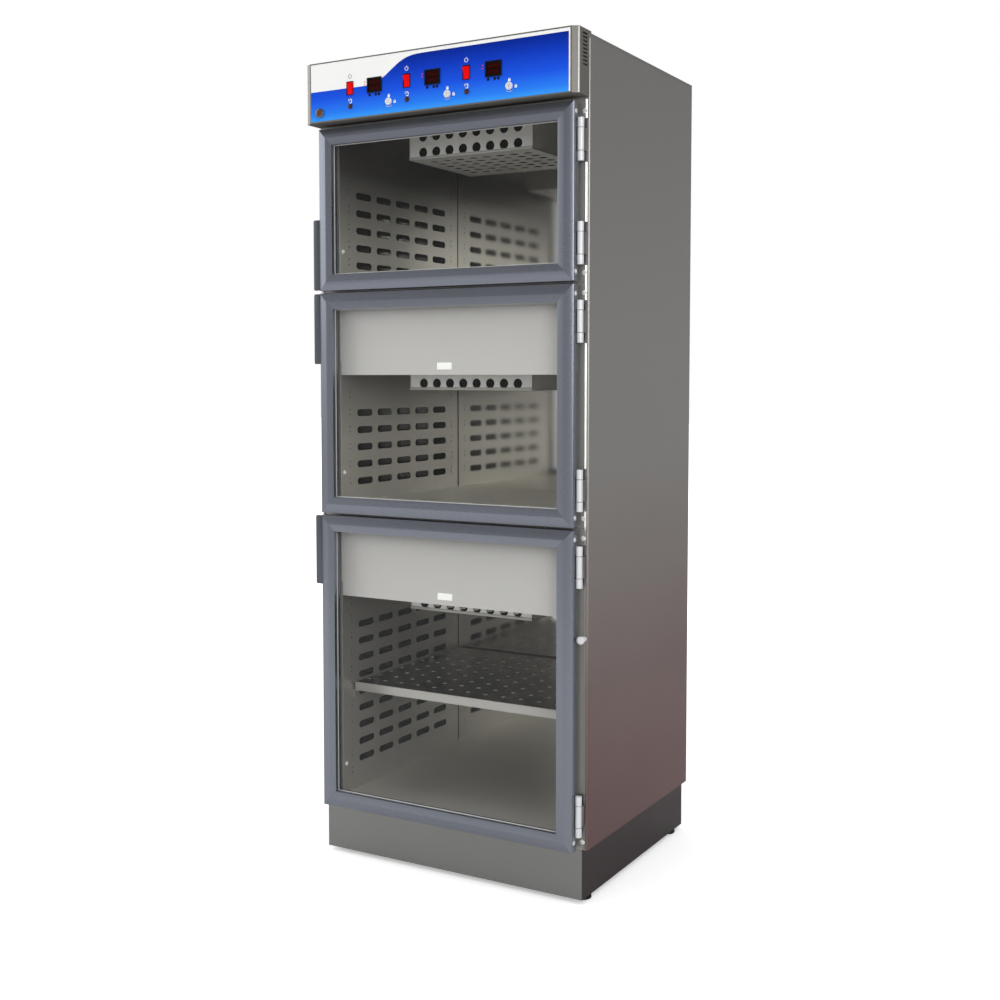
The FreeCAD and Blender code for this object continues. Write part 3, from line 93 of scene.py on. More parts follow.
@dataclass
class Recipe:
    """Node tree under construction, of a material or of the world."""

    owner: bpy.types.Material | bpy.types.World

    def __post_init__(self) -> None:
        """Switch the nodes on."""
        self.owner.use_nodes = True
        self.tree = self.owner.node_tree

    def feed(self, node: str | bpy.types.Node, inputs: dict[int | str, object]) -> None:
        """Join sockets to a node's inputs, or set the inputs' own values.

        Args:
            node: The node, or its name.
            inputs: Sockets and plain values, by the input's name or index.
        """
        target = self.tree.nodes[node] if isinstance(node, str) else node
        for key, value in inputs.items():
            if isinstance(value, bpy.types.NodeSocket):
                self.tree.links.new(value, target.inputs[key])
            else:
                target.inputs[key].default_value = value

    def shade(self, inputs: dict[int | str, object]) -> None:
        """Feed the material's own shader."""
        self.feed("Principled BSDF", inputs)

    def add(self, kind: str, inputs: dict[int | str, object] | None = None,
            **settings: object) -> bpy.types.bpy_prop_collection:
        """Add a node.

        Args:
            kind: Type name of the node, without its common first part.
            inputs: Sockets and plain values for its inputs.
            settings: Attributes of the node.

        Returns:
            The node's outputs.
        """
        node = self.tree.nodes.new(f"ShaderNode{kind}")
        for key, value in settings.items():
            setattr(node, key, value)
        self.feed(node, inputs or {})
        return node.outputs

    def combine(self, operation: str, *values: object) -> bpy.types.NodeSocket:
        """Combine numbers with an operation of the math node."""
        return self.add("Math", dict(enumerate(values)), operation=operation)[0]

    def remap(self, value: bpy.types.NodeSocket, source: Span, target: Span = (0.0, 1.0),
              smooth: bool = False) -> bpy.types.NodeSocket:
        """Map a number from one range onto another, and hold it at the ends.

        Args:
            value: Socket with the number.
            source: Range that it comes from.
            target: Range that it goes to.
            smooth: Whether it eases in and out.

        Returns:
            The mapped socket.
        """
        ends = {"From Min": source[0], "From Max": source[1], "To Min": target[0], "To Max": target[1]}
        way = "SMOOTHSTEP" if smooth else "LINEAR"
        return self.add("MapRange", {"Value": value, **ends}, interpolation_type=way)["Result"]

    def blend(self, share: object, first: object, second: object, mode: str = "MIX") -> bpy.types.NodeSocket:
        """Blend two colours by a share."""
        return self.add("Mix", {0: share, 6: first, 7: second}, data_type="RGBA", blend_type=mode)[2]

    def sway(self, share: object, first: object, second: object) -> bpy.types.NodeSocket:
        """Blend two numbers by a share."""
        return self.add("Mix", {0: share, 2: first, 3: second})[0]

    def place(self, cycles: Sequence[float] = (1.0, 1.0, 1.0)) -> bpy.types.NodeSocket:
        """Give the surface's own coordinates, stretched along X, Y and Z."""
        return self.add("Mapping", {"Vector": self.add("TexCoord")["Object"], "Scale": cycles})["Vector"]

    def along(self, axis: str, vector: bpy.types.NodeSocket | None = None) -> bpy.types.NodeSocket:
        """Give one coordinate of a vector, or else of the surface's own coordinates."""
        return self.add("SeparateXYZ", {0: vector or self.place()})[axis]

    def noise(self, cycles: Sequence[float], detail: float = 3.0) -> bpy.types.NodeSocket:
        """Give a noise value, with its cycles per metre along X, Y and Z and its octaves."""
        return self.add("TexNoise", {"Vector": self.place(cycles), "Scale": 1.0, "Detail": detail})["Fac"]

    def banded(self, levels: Sequence[tuple[float, str]]) -> bpy.types.NodeSocket:
        """Give a colour that changes with the height.

        Args:
            levels: Heights in the drawing, from the lowest up, each with its colour.

        Returns:
            The colour socket.
        """
        low, high = levels[0][0], levels[-1][0]
        height = self.remap(self.along("Z"), (low * MM, high * MM))
        colour = self.add("ValToRGB", {"Fac": height})["Color"]
        stops = colour.node.color_ramp.elements
        while len(stops) < len(levels):
            stops.new(0.5)
        for stop, (level, code) in zip(stops, levels):
            stop.position = (level - low) / (high - low)
            stop.color = linear(code)
        return colour

    def beyond(self, distance: float) -> bpy.types.NodeSocket:
        """Give a value that is 1 on the surface further from the middle than a distance in metres."""
        return self.remap(self.combine("ABSOLUTE", self.along("X")), (distance, distance + MM), smooth=True)

    def facing(self, way: int) -> bpy.types.NodeSocket:
        """Give a value that is 1 on the faces that look up, for 1, or down, for -1."""
        return self.remap(self.along("Z", self.add("NewGeometry")["Normal"]), (0.5 * way, 0.9 * way))

    def seen(self) -> bpy.types.NodeSocket:
        """Give a value that is 1 for the camera's rays, also through glass."""
        path = self.add("LightPath")
        return self.combine("MAXIMUM", path["Is Camera Ray"], path["Is Transmission Ray"])

    def relief(self, value: bpy.types.NodeSocket, strength: float, depth: float = 0.0002) -> None:
        """Drive the shader's normal with a bump of a depth in metres."""
        bump = self.add("Bump", {"Height": value, "Strength": strength, "Distance": depth})
        self.shade({"Normal": bump["Normal"]})


@dataclass(frozen=True)
class Metal:
    """Bare, brushed or anodised metal.

    Attributes:
        name: Name of the finish.
        code: Colour of the metal.
        roughness: Middle roughness.
        grain: Direction of the brushing.
        contrast: How much the streaks lighten and darken the colour.
        relief: Strength of the streaks' bump.
        metallic: Share of metal in the surface.
        underside: Roughness of the faces that look down, which take a painted shade, if they differ.
        upside: Roughness of the faces that look up, if it differs.
        gloss: Reflection of the part that isn't metal.
        levels: Colours by height in the drawing, from the lowest up, if they differ: painted highlights,
            shade and reflections.
        outer_from: Distance from the middle beyond which the sheet takes a painted shade.
        outer_code: Colour of that painted shade.
        outer_metallic: Share of metal there.
        underside_shade: Brightness of the painted shade on the faces that look down.
        upside_metallic: Share of metal in the faces that look up.
    """

    name: str
    code: str
    roughness: float = 0.3
    grain: Grain = Grain.EVEN
    contrast: float = 0.04
    relief: float = 0.03
    metallic: float = 1.0
    underside: float | None = None
    upside: float | None = None
    gloss: float = 0.5
    levels: tuple[tuple[float, str], ...] = ()
    outer_from: float | None = None
    outer_code: str = "0b0b0a"
    outer_metallic: float = 0.0
    underside_shade: float = 0.55
    upside_metallic: float = 0.72

    def make(self) -> bpy.types.Material:
        """Build the material.

        Returns:
            The node material.
        """
        recipe = Recipe(bpy.data.materials.new(self.name))
        colour = linear(self.code)
        streaks = recipe.noise(self.grain.value)
        clouds = recipe.noise((4.0, 4.0, 3.0), 2.0)
        # Colours by height paint highlights, shade and reflections into the colour.
        if self.levels:
            dimmed = recipe.blend(streaks, scaled(WHITE, 1 - 2 * self.contrast), WHITE)
            tone = recipe.blend(1.0, recipe.banded(self.levels), dimmed, "MULTIPLY")
        else:
            tone = recipe.blend(streaks, scaled(colour, 1 - self.contrast), scaled(colour, 1 + self.contrast))
        share = self.metallic
        fine = recipe.remap(streaks, NOISE_RANGE, around(0.0, self.contrast / 2))
        coarse = recipe.remap(clouds, NOISE_RANGE, around(self.roughness, 0.02))
        roughness = recipe.combine("ADD", fine, coarse)
        # Beyond a distance from the middle the colour is a painted shade.
        if self.outer_from:
            outer = recipe.beyond(self.outer_from)
            tone = recipe.blend(outer, tone, linear(self.outer_code))
            share = recipe.sway(outer, share, self.outer_metallic)
        # Faces that look down take a darker colour: painted shade.
        if self.underside is not None:
            down = recipe.facing(-1)
            tone = recipe.blend(down, tone, scaled(colour, self.underside_shade))
            share = recipe.sway(down, share, 0.0)
            roughness = recipe.sway(down, roughness, self.underside)
        if self.upside is not None:
            up = recipe.facing(1)
            share = recipe.sway(up, share, self.upside_metallic)
            roughness = recipe.sway(up, roughness, self.upside)
        recipe.shade({"Base Color": tone, "Metallic": share, "Roughness": roughness,
                      "Specular IOR Level": self.gloss})
        recipe.relief(streaks, self.relief)
        return recipe.owner


@dataclass(frozen=True)
class Coating:
    """Paint, plastic, rubber or printed film.

    Attributes:
        name: Name of the finish.
        code: Colour.
        roughness: Middle roughness.
        texture: Strength of the fine moulded or sprayed texture.
        contrast: How much the colour varies.
        coat: Clear coat over the surface.
        glow: Strength of its own light.
        gloss: Level of its reflection.
    """

    name: str
    code: str
    roughness: float = 0.4
    texture: float = 0.08
    contrast: float = 0.04
    coat: float = 0.0
    glow: float = 0.0
    gloss: float = 0.5

    def make(self) -> bpy.types.Material:
        """Build the material.

        Returns:
            The node material.
        """
        recipe = Recipe(bpy.data.materials.new(self.name))
        colour = linear(self.code)
        clouds = recipe.noise((9.0, 9.0, 9.0))
        tone = recipe.blend(clouds, scaled(colour, 1 - self.contrast), scaled(colour, 1 + self.contrast))
        roughness = recipe.remap(clouds, NOISE_RANGE, around(self.roughness, 0.04))
        recipe.shade({"Base Color": tone, "Roughness": roughness, "Specular IOR Level": self.gloss,
                      "Coat Weight": self.coat, "Coat Roughness": 0.08})
        if self.glow:
            recipe.shade({"Emission Color": colour, "Emission Strength": self.glow})
        recipe.relief(recipe.noise((700.0, 700.0, 700.0), 2.0), self.texture, 0.0003)
        return recipe.owner


@dataclass(frozen=True)
class OverlayFilm:
    """Printed blue film that grows lighter towards its lower edge.

    Attributes:
        name: Name of the finish.
        shades: Colours from the lower edge upwards, with their heights.
    """

    name: str = "blue_film"
    shades: tuple[tuple[float, str], ...] = ((1864.0, "3ba0ff"), (1880.0, "2c82fb"), (1915.0, "1c58ea"),
                                             (1960.0, "0f3cc2"), (2000.0, "04238a"))

    def make(self) -> bpy.types.Material:
        """Build the material.

        Returns:
            The node material.
        """
        recipe = Recipe(bpy.data.materials.new(self.name))
        recipe.shade({"Base Color": recipe.banded(self.shades), "Specular IOR Level": 0.06,
                      "Roughness": recipe.remap(recipe.noise((12.0, 12.0, 12.0)), NOISE_RANGE, (0.3, 0.38))})
        recipe.relief(recipe.noise((500.0, 500.0, 500.0)), 0.03)
        return recipe.owner


@dataclass(frozen=True)
class ClearGlass:
    """Clear pane that lets lamp light through.

    Attributes:
        name: Name of the material.
        tint: Colour of the pane.
    """

    name: str = "door_pane"
    tint: str = "f8f8f6"

    def make(self) -> bpy.types.Material:
        """Build the material.

        Returns:
            The node material.
        """
        recipe = Recipe(bpy.data.materials.new(self.name))
        recipe.shade({"Base Color": recipe.blend(recipe.noise((3.0, 3.0, 3.0)), linear(self.tint), WHITE),
                      "Roughness": recipe.remap(recipe.noise((5.0, 5.0, 5.0)), NOISE_RANGE, (0.0, 0.012)),
                      "IOR": 1.3, "Transmission Weight": 1.0})
        pane = recipe.tree.nodes["Principled BSDF"].outputs[0]
        mix = recipe.add("MixShader", {0: recipe.seen(), 1: recipe.add("BsdfTransparent")[0], 2: pane})
        recipe.feed("Material Output", {"Surface": mix[0]})
        return recipe.owner


class Finish(Enum):
    """Every finish on the cabinet."""

    # Redder and darker towards the foot, paler higher up: a painted reflection of a reddish floor.
    CASING = Metal("brushed_casing", "b4b2af", 0.42, Grain.UPRIGHT, levels=(
        (250, "896f6d"), (512, "93817f"), (775, "a89f9c"), (1038, "b6b3b0"), (1300, "b9b7b4")))
    BACK = Metal("brushed_back", "aeada9", 0.42, Grain.UPRIGHT)
    # Darker on its sides, beyond 366.5 mm from the middle: painted shade.
    PLINTH = Metal("satin_plinth", "9e9f9b", 0.42, Grain.ACROSS, outer_from=0.3665, outer_code="554d4e",
                   outer_metallic=1.0)
    FRAME = Metal("bright_frame", "b6b5af", 0.36, Grain.UPRIGHT, metallic=0.5)
    # Near black beyond 330 mm from the middle, behind the duct panels: painted shade.
    LINER = Metal("polished_liner", "eae8e1", 0.09, Grain.ACROSS, 0.01, 0.0, upside=0.35, outer_from=0.33)
    # Darker towards each chamber's ceiling, lighter near each floor: painted shade.
    DUCT = Metal("duct_sheet", "b5b3ab", 0.34, Grain.DEEP, 0.015, 0.0, 0.5, levels=(
        (157, "b6b4ac"), (400, "a3a09a"), (560, "95938d"), (708, "787671"),
        (913, "d2d0c7"), (1072, "c8c6bd"), (1199, "a29f9a"), (1271, "898781"),
        (1473, "d6d4cc"), (1560, "c8c6be"), (1756, "4d4b47"), (1850, "403e3c")))
    BOX = Metal("intake_sheet", "eeede8", 0.36, Grain.ACROSS, 0.015, 0.0, 0.35)
    # Much darker than the liner's steel: a painted dark reflection on the shelf's top, back and sides.
    SHELF = Metal("shelf_sheet", "7d7b77", 0.28, Grain.ACROSS, 0.015, 0.01)
    LIP = Metal("folded_lip", "bfbeb9", 0.34, Grain.ACROSS, 0.02, 0.01, 0.4)
    RIM = Metal("pressed_rim", "b2b1ac", 0.3, Grain.EVEN, 0.02, 0.0, 0.6)
    ANODISED = Metal("anodised_section", "9195a0", 0.28, Grain.EVEN, 0.02, 0.01, 0.85)
    PULL = Metal("anodised_pull", "6a7077", 0.38, Grain.UPRIGHT, metallic=0.8)
    # Faces that look down are darker: painted shade under the header.
    HEADER = Metal("header_metal", "a09d97", 0.4, Grain.UPRIGHT, underside=0.6, gloss=0.0)
    # Grey beside the lowest door and near white above it: a painted highlight.
    EDGE = Metal("edge_painted_highlight", "f4f4f1", 0.4, Grain.UPRIGHT, 0.01, 0.0, 0.9, levels=(
        (130, "8a8983"), (884, "8f8e88"), (886, "f6f6f3"), (2006, "f6f6f3")))
    # Near white on the knuckles: a painted highlight of the hinge steel.
    HINGE = Metal("hinge_painted_highlight", "fafbfd", 0.5, Grain.UPRIGHT, metallic=0.45)
    SCREW = Metal("screw_head", "fafaf8", 0.45, Grain.EVEN, 0.02, 0.0, 0.1)
    # Greyer copy of the hinge steel for the leaves and webs: painted shade.
    LEAF = Metal("hinge_leaf_painted_shade", "94979c", 0.36, Grain.UPRIGHT)
    SATIN = Metal("satin_chrome", "f6f7f8", 0.36, Grain.EVEN, 0.02, 0.0, 0.35)
    CHROME = Metal("chrome_plate", "f0f1f3", 0.08, Grain.EVEN, 0.02, 0.0)
    BRONZE = Metal("bronze_lock", "9c7050", 0.3, Grain.EVEN)
    COPPER = Metal("copper_collar", "6e5654", 0.4, Grain.EVEN)
    NICKEL = Metal("aged_nickel", "9b968c", 0.3, Grain.EVEN)
    ZINC = Metal("zinc_plate", "a9acb0", 0.34, Grain.EVEN)
    HEATER = Metal("heater_sheath", "6c6864", 0.45, Grain.DEEP)
    FOOT = Metal("foot_metal", "3a3a3a", 0.5, Grain.EVEN, metallic=0.6)
    COVER = Coating("light_cover", "cbcac7", 0.42, 0.02, 0.02)
    BEAD = Coating("glazing_bead", "c4c5c2", 0.4, 0.04)
    MOTOR = Coating("motor_enamel", "2a2b2e", 0.4)
    WHITE_FILM = Coating("white_film", "fcfcfb", 0.35, 0.02, 0.01)
    PRINT_WHITE = Coating("white_print", "f6f8fc", 0.4, 0.02, 0.01)
    LABEL = Coating("blank_label", "f7f7f4", 0.5, 0.04, 0.01, 0.0, 0.2)
    BLACK = Coating("black_moulding", "0e0e10", 0.42, 0.08, gloss=0.2)
    # Near black: painted shade inside the intake boxes and the keyholes.
    DARK_GAP = Coating("dark_gap", "0c0c0c", 0.8, 0.05, gloss=0.1)
    RUBBER = Coating("gasket_rubber", "1b1c1e", 0.7, 0.15, gloss=0.3)
    RED = Coating("red_rocker", "ec0508", 0.4, 0.03, 0.02, 0.0, 0.12, 0.1)
    DISPLAY = Coating("display_window", "080303", 0.4, 0.0, 0.02, gloss=0.05)
    DIGIT = Coating("display_digit", "4a100e", 0.5, 0.0, 0.02, 0.0, 0.03, 0.05)
    LENS = Coating("indicator_lens", "d01a1c", 0.2, 0.0, 0.02, 0.5, 0.4)
    KEY = Coating("round_key", "101014", 0.4, 0.04, gloss=0.2)
    PROBE = Coating("probe_tip", "f2f1ec", 0.35, 0.03)
    WOOL = Coating("mineral_wool", "c9c19a", 0.95, 0.9, 0.15)
    BLUE_FILM = OverlayFilm()
    GLASS = ClearGlass()


_MADE: dict[Finish, bpy.types.Material] = {}


def material_of(finish: Finish) -> bpy.types.Material:
    """Give the material of a finish, built once.

    Args:
        finish: The finish.

    Returns:
        Its node material.
    """
    if finish not in _MADE:
        _MADE[finish] = finish.value.make()
    return _MADE[finish]


def dress(**finishes: Finish) -> None:
    """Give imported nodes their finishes.

    Args:
        finishes: Finishes by the names of their nodes.
    """
    for node, finish in finishes.items():
        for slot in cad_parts[node].material_slots:
            slot.material = material_of(finish)


# --- mesh making -------------------------------------------------------------------
def around(middle: float, half: float) -> Span:
    """Give the span that reaches equally far to both sides of a middle."""
    return (middle - half, middle + half)


def box(centre: Flat, size: Flat) -> list[Flat]:
    """Give the corners of a rectangle, anticlockwise from the lower left."""
    (left, right), (low, high) = around(centre[0], size[0] / 2), around(centre[1], size[1] / 2)
    return [(left, low), (right, low), (right, high), (left, high)]


def arc(centre: Flat, radius: float, start: float, turn: float, steps: int) -> list[Flat]:
    """Give points on an arc.

    Args:
        centre: Middle of the arc.
        radius: Its radius.
        start: First angle, in half turns.
        turn: Angle that it covers, in half turns.
        steps: Number of its parts.

    Returns:
        The points, one more than the parts.
    """
    angles = [math.pi * (start + turn * step / steps) for step in range(steps + 1)]
    return [(centre[0] + radius * math.cos(angle), centre[1] + radius * math.sin(angle)) for angle in angles]


def circle(centre: Flat, radius: float, steps: int = 16) -> list[Flat]:
    """Give the points of a circle, anticlockwise."""
    return arc(centre, radius, 0.0, 2.0, steps)[:-1]


def rounded(centre: Flat, size: Flat, radius: float, steps: int = 4) -> list[Flat]:
    """Give the points of a rectangle with round corners.

    Args:
        centre: Middle of the rectangle.
        size: Its width and height.
        radius: Radius of the corners.
        steps: Parts of each corner.

    Returns:
        The points, anticlockwise.
    """
    low_left, low_right, high_right, high_left = box(centre, (size[0] - 2 * radius, size[1] - 2 * radius))
    corners = (high_right, high_left, low_left, low_right)
    return [point for quarter, corner in enumerate(corners)
            for point in arc(corner, radius, quarter / 2, 0.5, steps)]


def inside(point: Flat, loop: Sequence[Flat]) -> bool:
    """Tell whether a point lies within a loop.

    Args:
        point: The point.
        loop: Corners of the loop.

    Returns:
        True if it lies within.
    """
    hit = False
    for (ax, ay), (bx, by) in zip(loop, [*loop[1:], loop[0]]):
        if (ay > point[1]) != (by > point[1]) and point[0] < (bx - ax) * (point[1] - ay) / (by - ay) + ax:
            hit = not hit
    return hit


@dataclass
class Placing:
    """Flat drawing plane in the cabinet's drawing frame.

    Attributes:
        origin: Point where the plane's own coordinates are zero.
        along: Direction of the first coordinate.
        up: Direction of the second coordinate.
    """

    origin: Point
    along: Point = RIGHT
    up: Point = UP

    def at(self, flat: Flat, lift: float = 0.0) -> Point:
        """Give the point over a place on the plane, lifted along the plane's normal."""
        along, up = Vector(self.along), Vector(self.up)
        return tuple(Vector(self.origin) + along * flat[0] + up * flat[1] + along.cross(up) * lift)


def front_plane(y: float) -> Placing:
    """Give the plane that faces the front at a depth, with x and z as coordinates."""
    return Placing((0.0, y, 0.0))


def level_plane(z: float) -> Placing:
    """Give the plane that faces up at a height, with x and y as coordinates."""
    return Placing((0.0, 0.0, z), RIGHT, BACKWARD)


@dataclass
class Draft:
    """Mesh under construction, in millimetres in the drawing frame.

    Attributes:
        finishes: Finishes that its faces use, by index.
        mesh: The mesh itself.
    """

    finishes: Sequence[Finish]
    mesh: bmesh.types.BMesh = field(default_factory=bmesh.new)

    def points(self, places: Iterable[Point]) -> list[bmesh.types.BMVert]:
        """Add vertices."""
        return [self.mesh.verts.new(place) for place in places]

    def face(self, points: Iterable[bmesh.types.BMVert], finish: int = 0) -> None:
        """Add a face through vertices that may already be shared by another."""
        try:
            self.mesh.faces.new(points).material_index = finish
        except ValueError:
            LOG.debug("face skipped")

    def block(self, x: Span, y: Span, z: Span, finish: int = 0, bevel: float = 0.0, steps: int = 2) -> None:
        """Add a box with bevelled edges.

        Args:
            x: Its ends along X, in either order.
            y: Its ends along Y.
            z: Its ends along Z.
            finish: Index of the finish.
            bevel: Width of the bevel.
            steps: Segments of the bevel.
        """
        corners = self.points((px, py, pz) for pz in sorted(z) for py in sorted(y) for px in sorted(x))
        faces = []
        for ids in ((0, 2, 3, 1), (4, 5, 7, 6), (0, 1, 5, 4), (2, 6, 7, 3), (0, 4, 6, 2), (1, 3, 7, 5)):
            faces.append(self.mesh.faces.new([corners[i] for i in ids]))
            faces[-1].material_index = finish
        if bevel:
            edges = list({edge for made in faces for edge in made.edges})
            bmesh.ops.bevel(self.mesh, geom=edges, offset=bevel, segments=steps, profile=0.5,
                            affect="EDGES", material=-1)

    def loft(self, rings: Sequence[Sequence[Point]], capped: bool = True) -> None:
        """Add the skin between two outlines.

        Args:
            rings: Both outlines, with the same number of points.
            capped: Whether the outlines are closed by faces.
        """
        first, last = [self.points(ring) for ring in rings]
        for i in range(len(first)):
            self.face([first[i - 1], first[i], last[i], last[i - 1]])
        if capped:
            self.face(first)
            self.face(last[::-1])

    def turned(self, origin: Point, axis: Point, profile: Sequence[Flat], finish: int = 0,
               steps: int = 32) -> None:
        """Add a turned shape.

        Args:
            origin: Start of its axis.
            axis: Unit direction of its axis.
            profile: Pairs of radius and distance along the axis; a zero radius closes an end.
            finish: Index of the finish.
            steps: Points round the axis.
        """
        direction = Vector(axis)
        side = direction.orthogonal().normalized()
        other = direction.cross(side)
        rings = []
        for radius, along in profile:
            middle = Vector(origin) + direction * along
            ring = circle((0.0, 0.0), 1.0, steps) if radius > 0 else [(0.0, 0.0)]
            rings.append(self.points(middle + (side * u + other * v) * radius for u, v in ring))
        for first, second in zip(rings, rings[1:]):
            for i in range(steps):
                j = (i + 1) % steps
                ring = [first[i % len(first)], first[j % len(first)], second[j % len(second)],
                        second[i % len(second)]]
                self.face(list(dict.fromkeys(ring)), finish)

    def sheet(self, plane: Placing, outline: Sequence[Flat], holes: Sequence[Sequence[Flat]] = (),
              thickness: float = 1.5, finish: int = 0,
              regions: Sequence[tuple[Sequence[Flat], int]] = ()) -> None:
        """Add a flat sheet with holes, whose front lies on a plane.

        Args:
            plane: Plane of the sheet's front.
            outline: Edge of the sheet.
            holes: Edges of its holes.
            thickness: Thickness behind the plane.
            finish: Index of the finish.
            regions: Loops on the sheet that take another finish.
        """
        points: list[Flat] = []
        edges = []
        for loop in (outline, *holes, *[loop for loop, _ in regions]):
            start = len(points)
            points += loop
            edges += [(start + i, start + (i + 1) % len(loop)) for i in range(len(loop))]
        flat, _, faces, *_ = delaunay_2d_cdt([Vector(p) for p in points], edges, [], 0, 1e-5)
        front = self.points(plane.at(tuple(p)) for p in flat)
        back = self.points(plane.at(tuple(p), -thickness) for p in flat)
        rim: dict[tuple[int, int], int] = {}
        for ids in faces:
            middle = tuple(sum((flat[i] for i in ids), Vector((0, 0))) / len(ids))
            if not inside(middle, outline) or any(inside(middle, hole) for hole in holes):
                continue
            tone = next((index for loop, index in regions if inside(middle, loop)), finish)
            self.face([front[i] for i in ids], tone)
            self.face([back[i] for i in reversed(ids)], tone)
            rim.update({(a, b): tone for a, b in zip(ids, [*ids[1:], ids[0]])})
        for (a, b), tone in rim.items():
            if (b, a) not in rim:
                self.face([front[b], front[a], back[a], back[b]], tone)
        bmesh.ops.delete(self.mesh, geom=[v for v in front + back if not v.link_faces], context="VERTS")

    def plate(self, plane: Placing, outline: Sequence[Flat], thickness: float, finish: int = 0) -> None:
        """Add a plate of any outline whose front lies on a plane."""
        self.sheet(plane, outline, (), thickness, finish)

    def finish_as(self, name: str, body: str, replaced: str = "", slot: str = "", bevel: float = 0.0,
                  smooth: bool = True) -> None:
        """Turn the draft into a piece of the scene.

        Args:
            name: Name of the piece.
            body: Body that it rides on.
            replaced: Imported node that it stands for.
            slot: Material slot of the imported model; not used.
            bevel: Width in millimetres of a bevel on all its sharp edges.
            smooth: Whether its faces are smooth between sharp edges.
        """
        bmesh.ops.remove_doubles(self.mesh, verts=self.mesh.verts, dist=1e-4)
        bmesh.ops.recalc_face_normals(self.mesh, faces=self.mesh.faces)
        if bevel:
            sharp = [edge for edge in self.mesh.edges
                     if len(edge.link_faces) == 2 and edge.calc_face_angle(0) > SHARP_EDGE]
            bmesh.ops.bevel(self.mesh, geom=sharp, offset=bevel, segments=2, profile=0.5, affect="EDGES",
                            material=-1, clamp_overlap=True)
        self.mesh.transform(Matrix.Scale(MM, 4) @ Matrix.Translation((0.0, DEPTH_SHIFT, 0.0)))
        data = bpy.data.meshes.new(name)
        self.mesh.to_mesh(data)
        self.mesh.free()
        for finish in self.finishes:
            data.materials.append(material_of(finish))
        data.polygons.foreach_set("use_smooth", [smooth] * len(data.polygons))
        data.set_sharp_from_angle(angle=SHARP_EDGE)
        piece = bpy.data.objects.new(name, data)
        bpy.context.scene.collection.objects.link(piece)
        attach(piece, body)
        if replaced:
            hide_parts(replaced)
        LOG.info("%s: %d faces on %s", name, len(data.polygons), body)


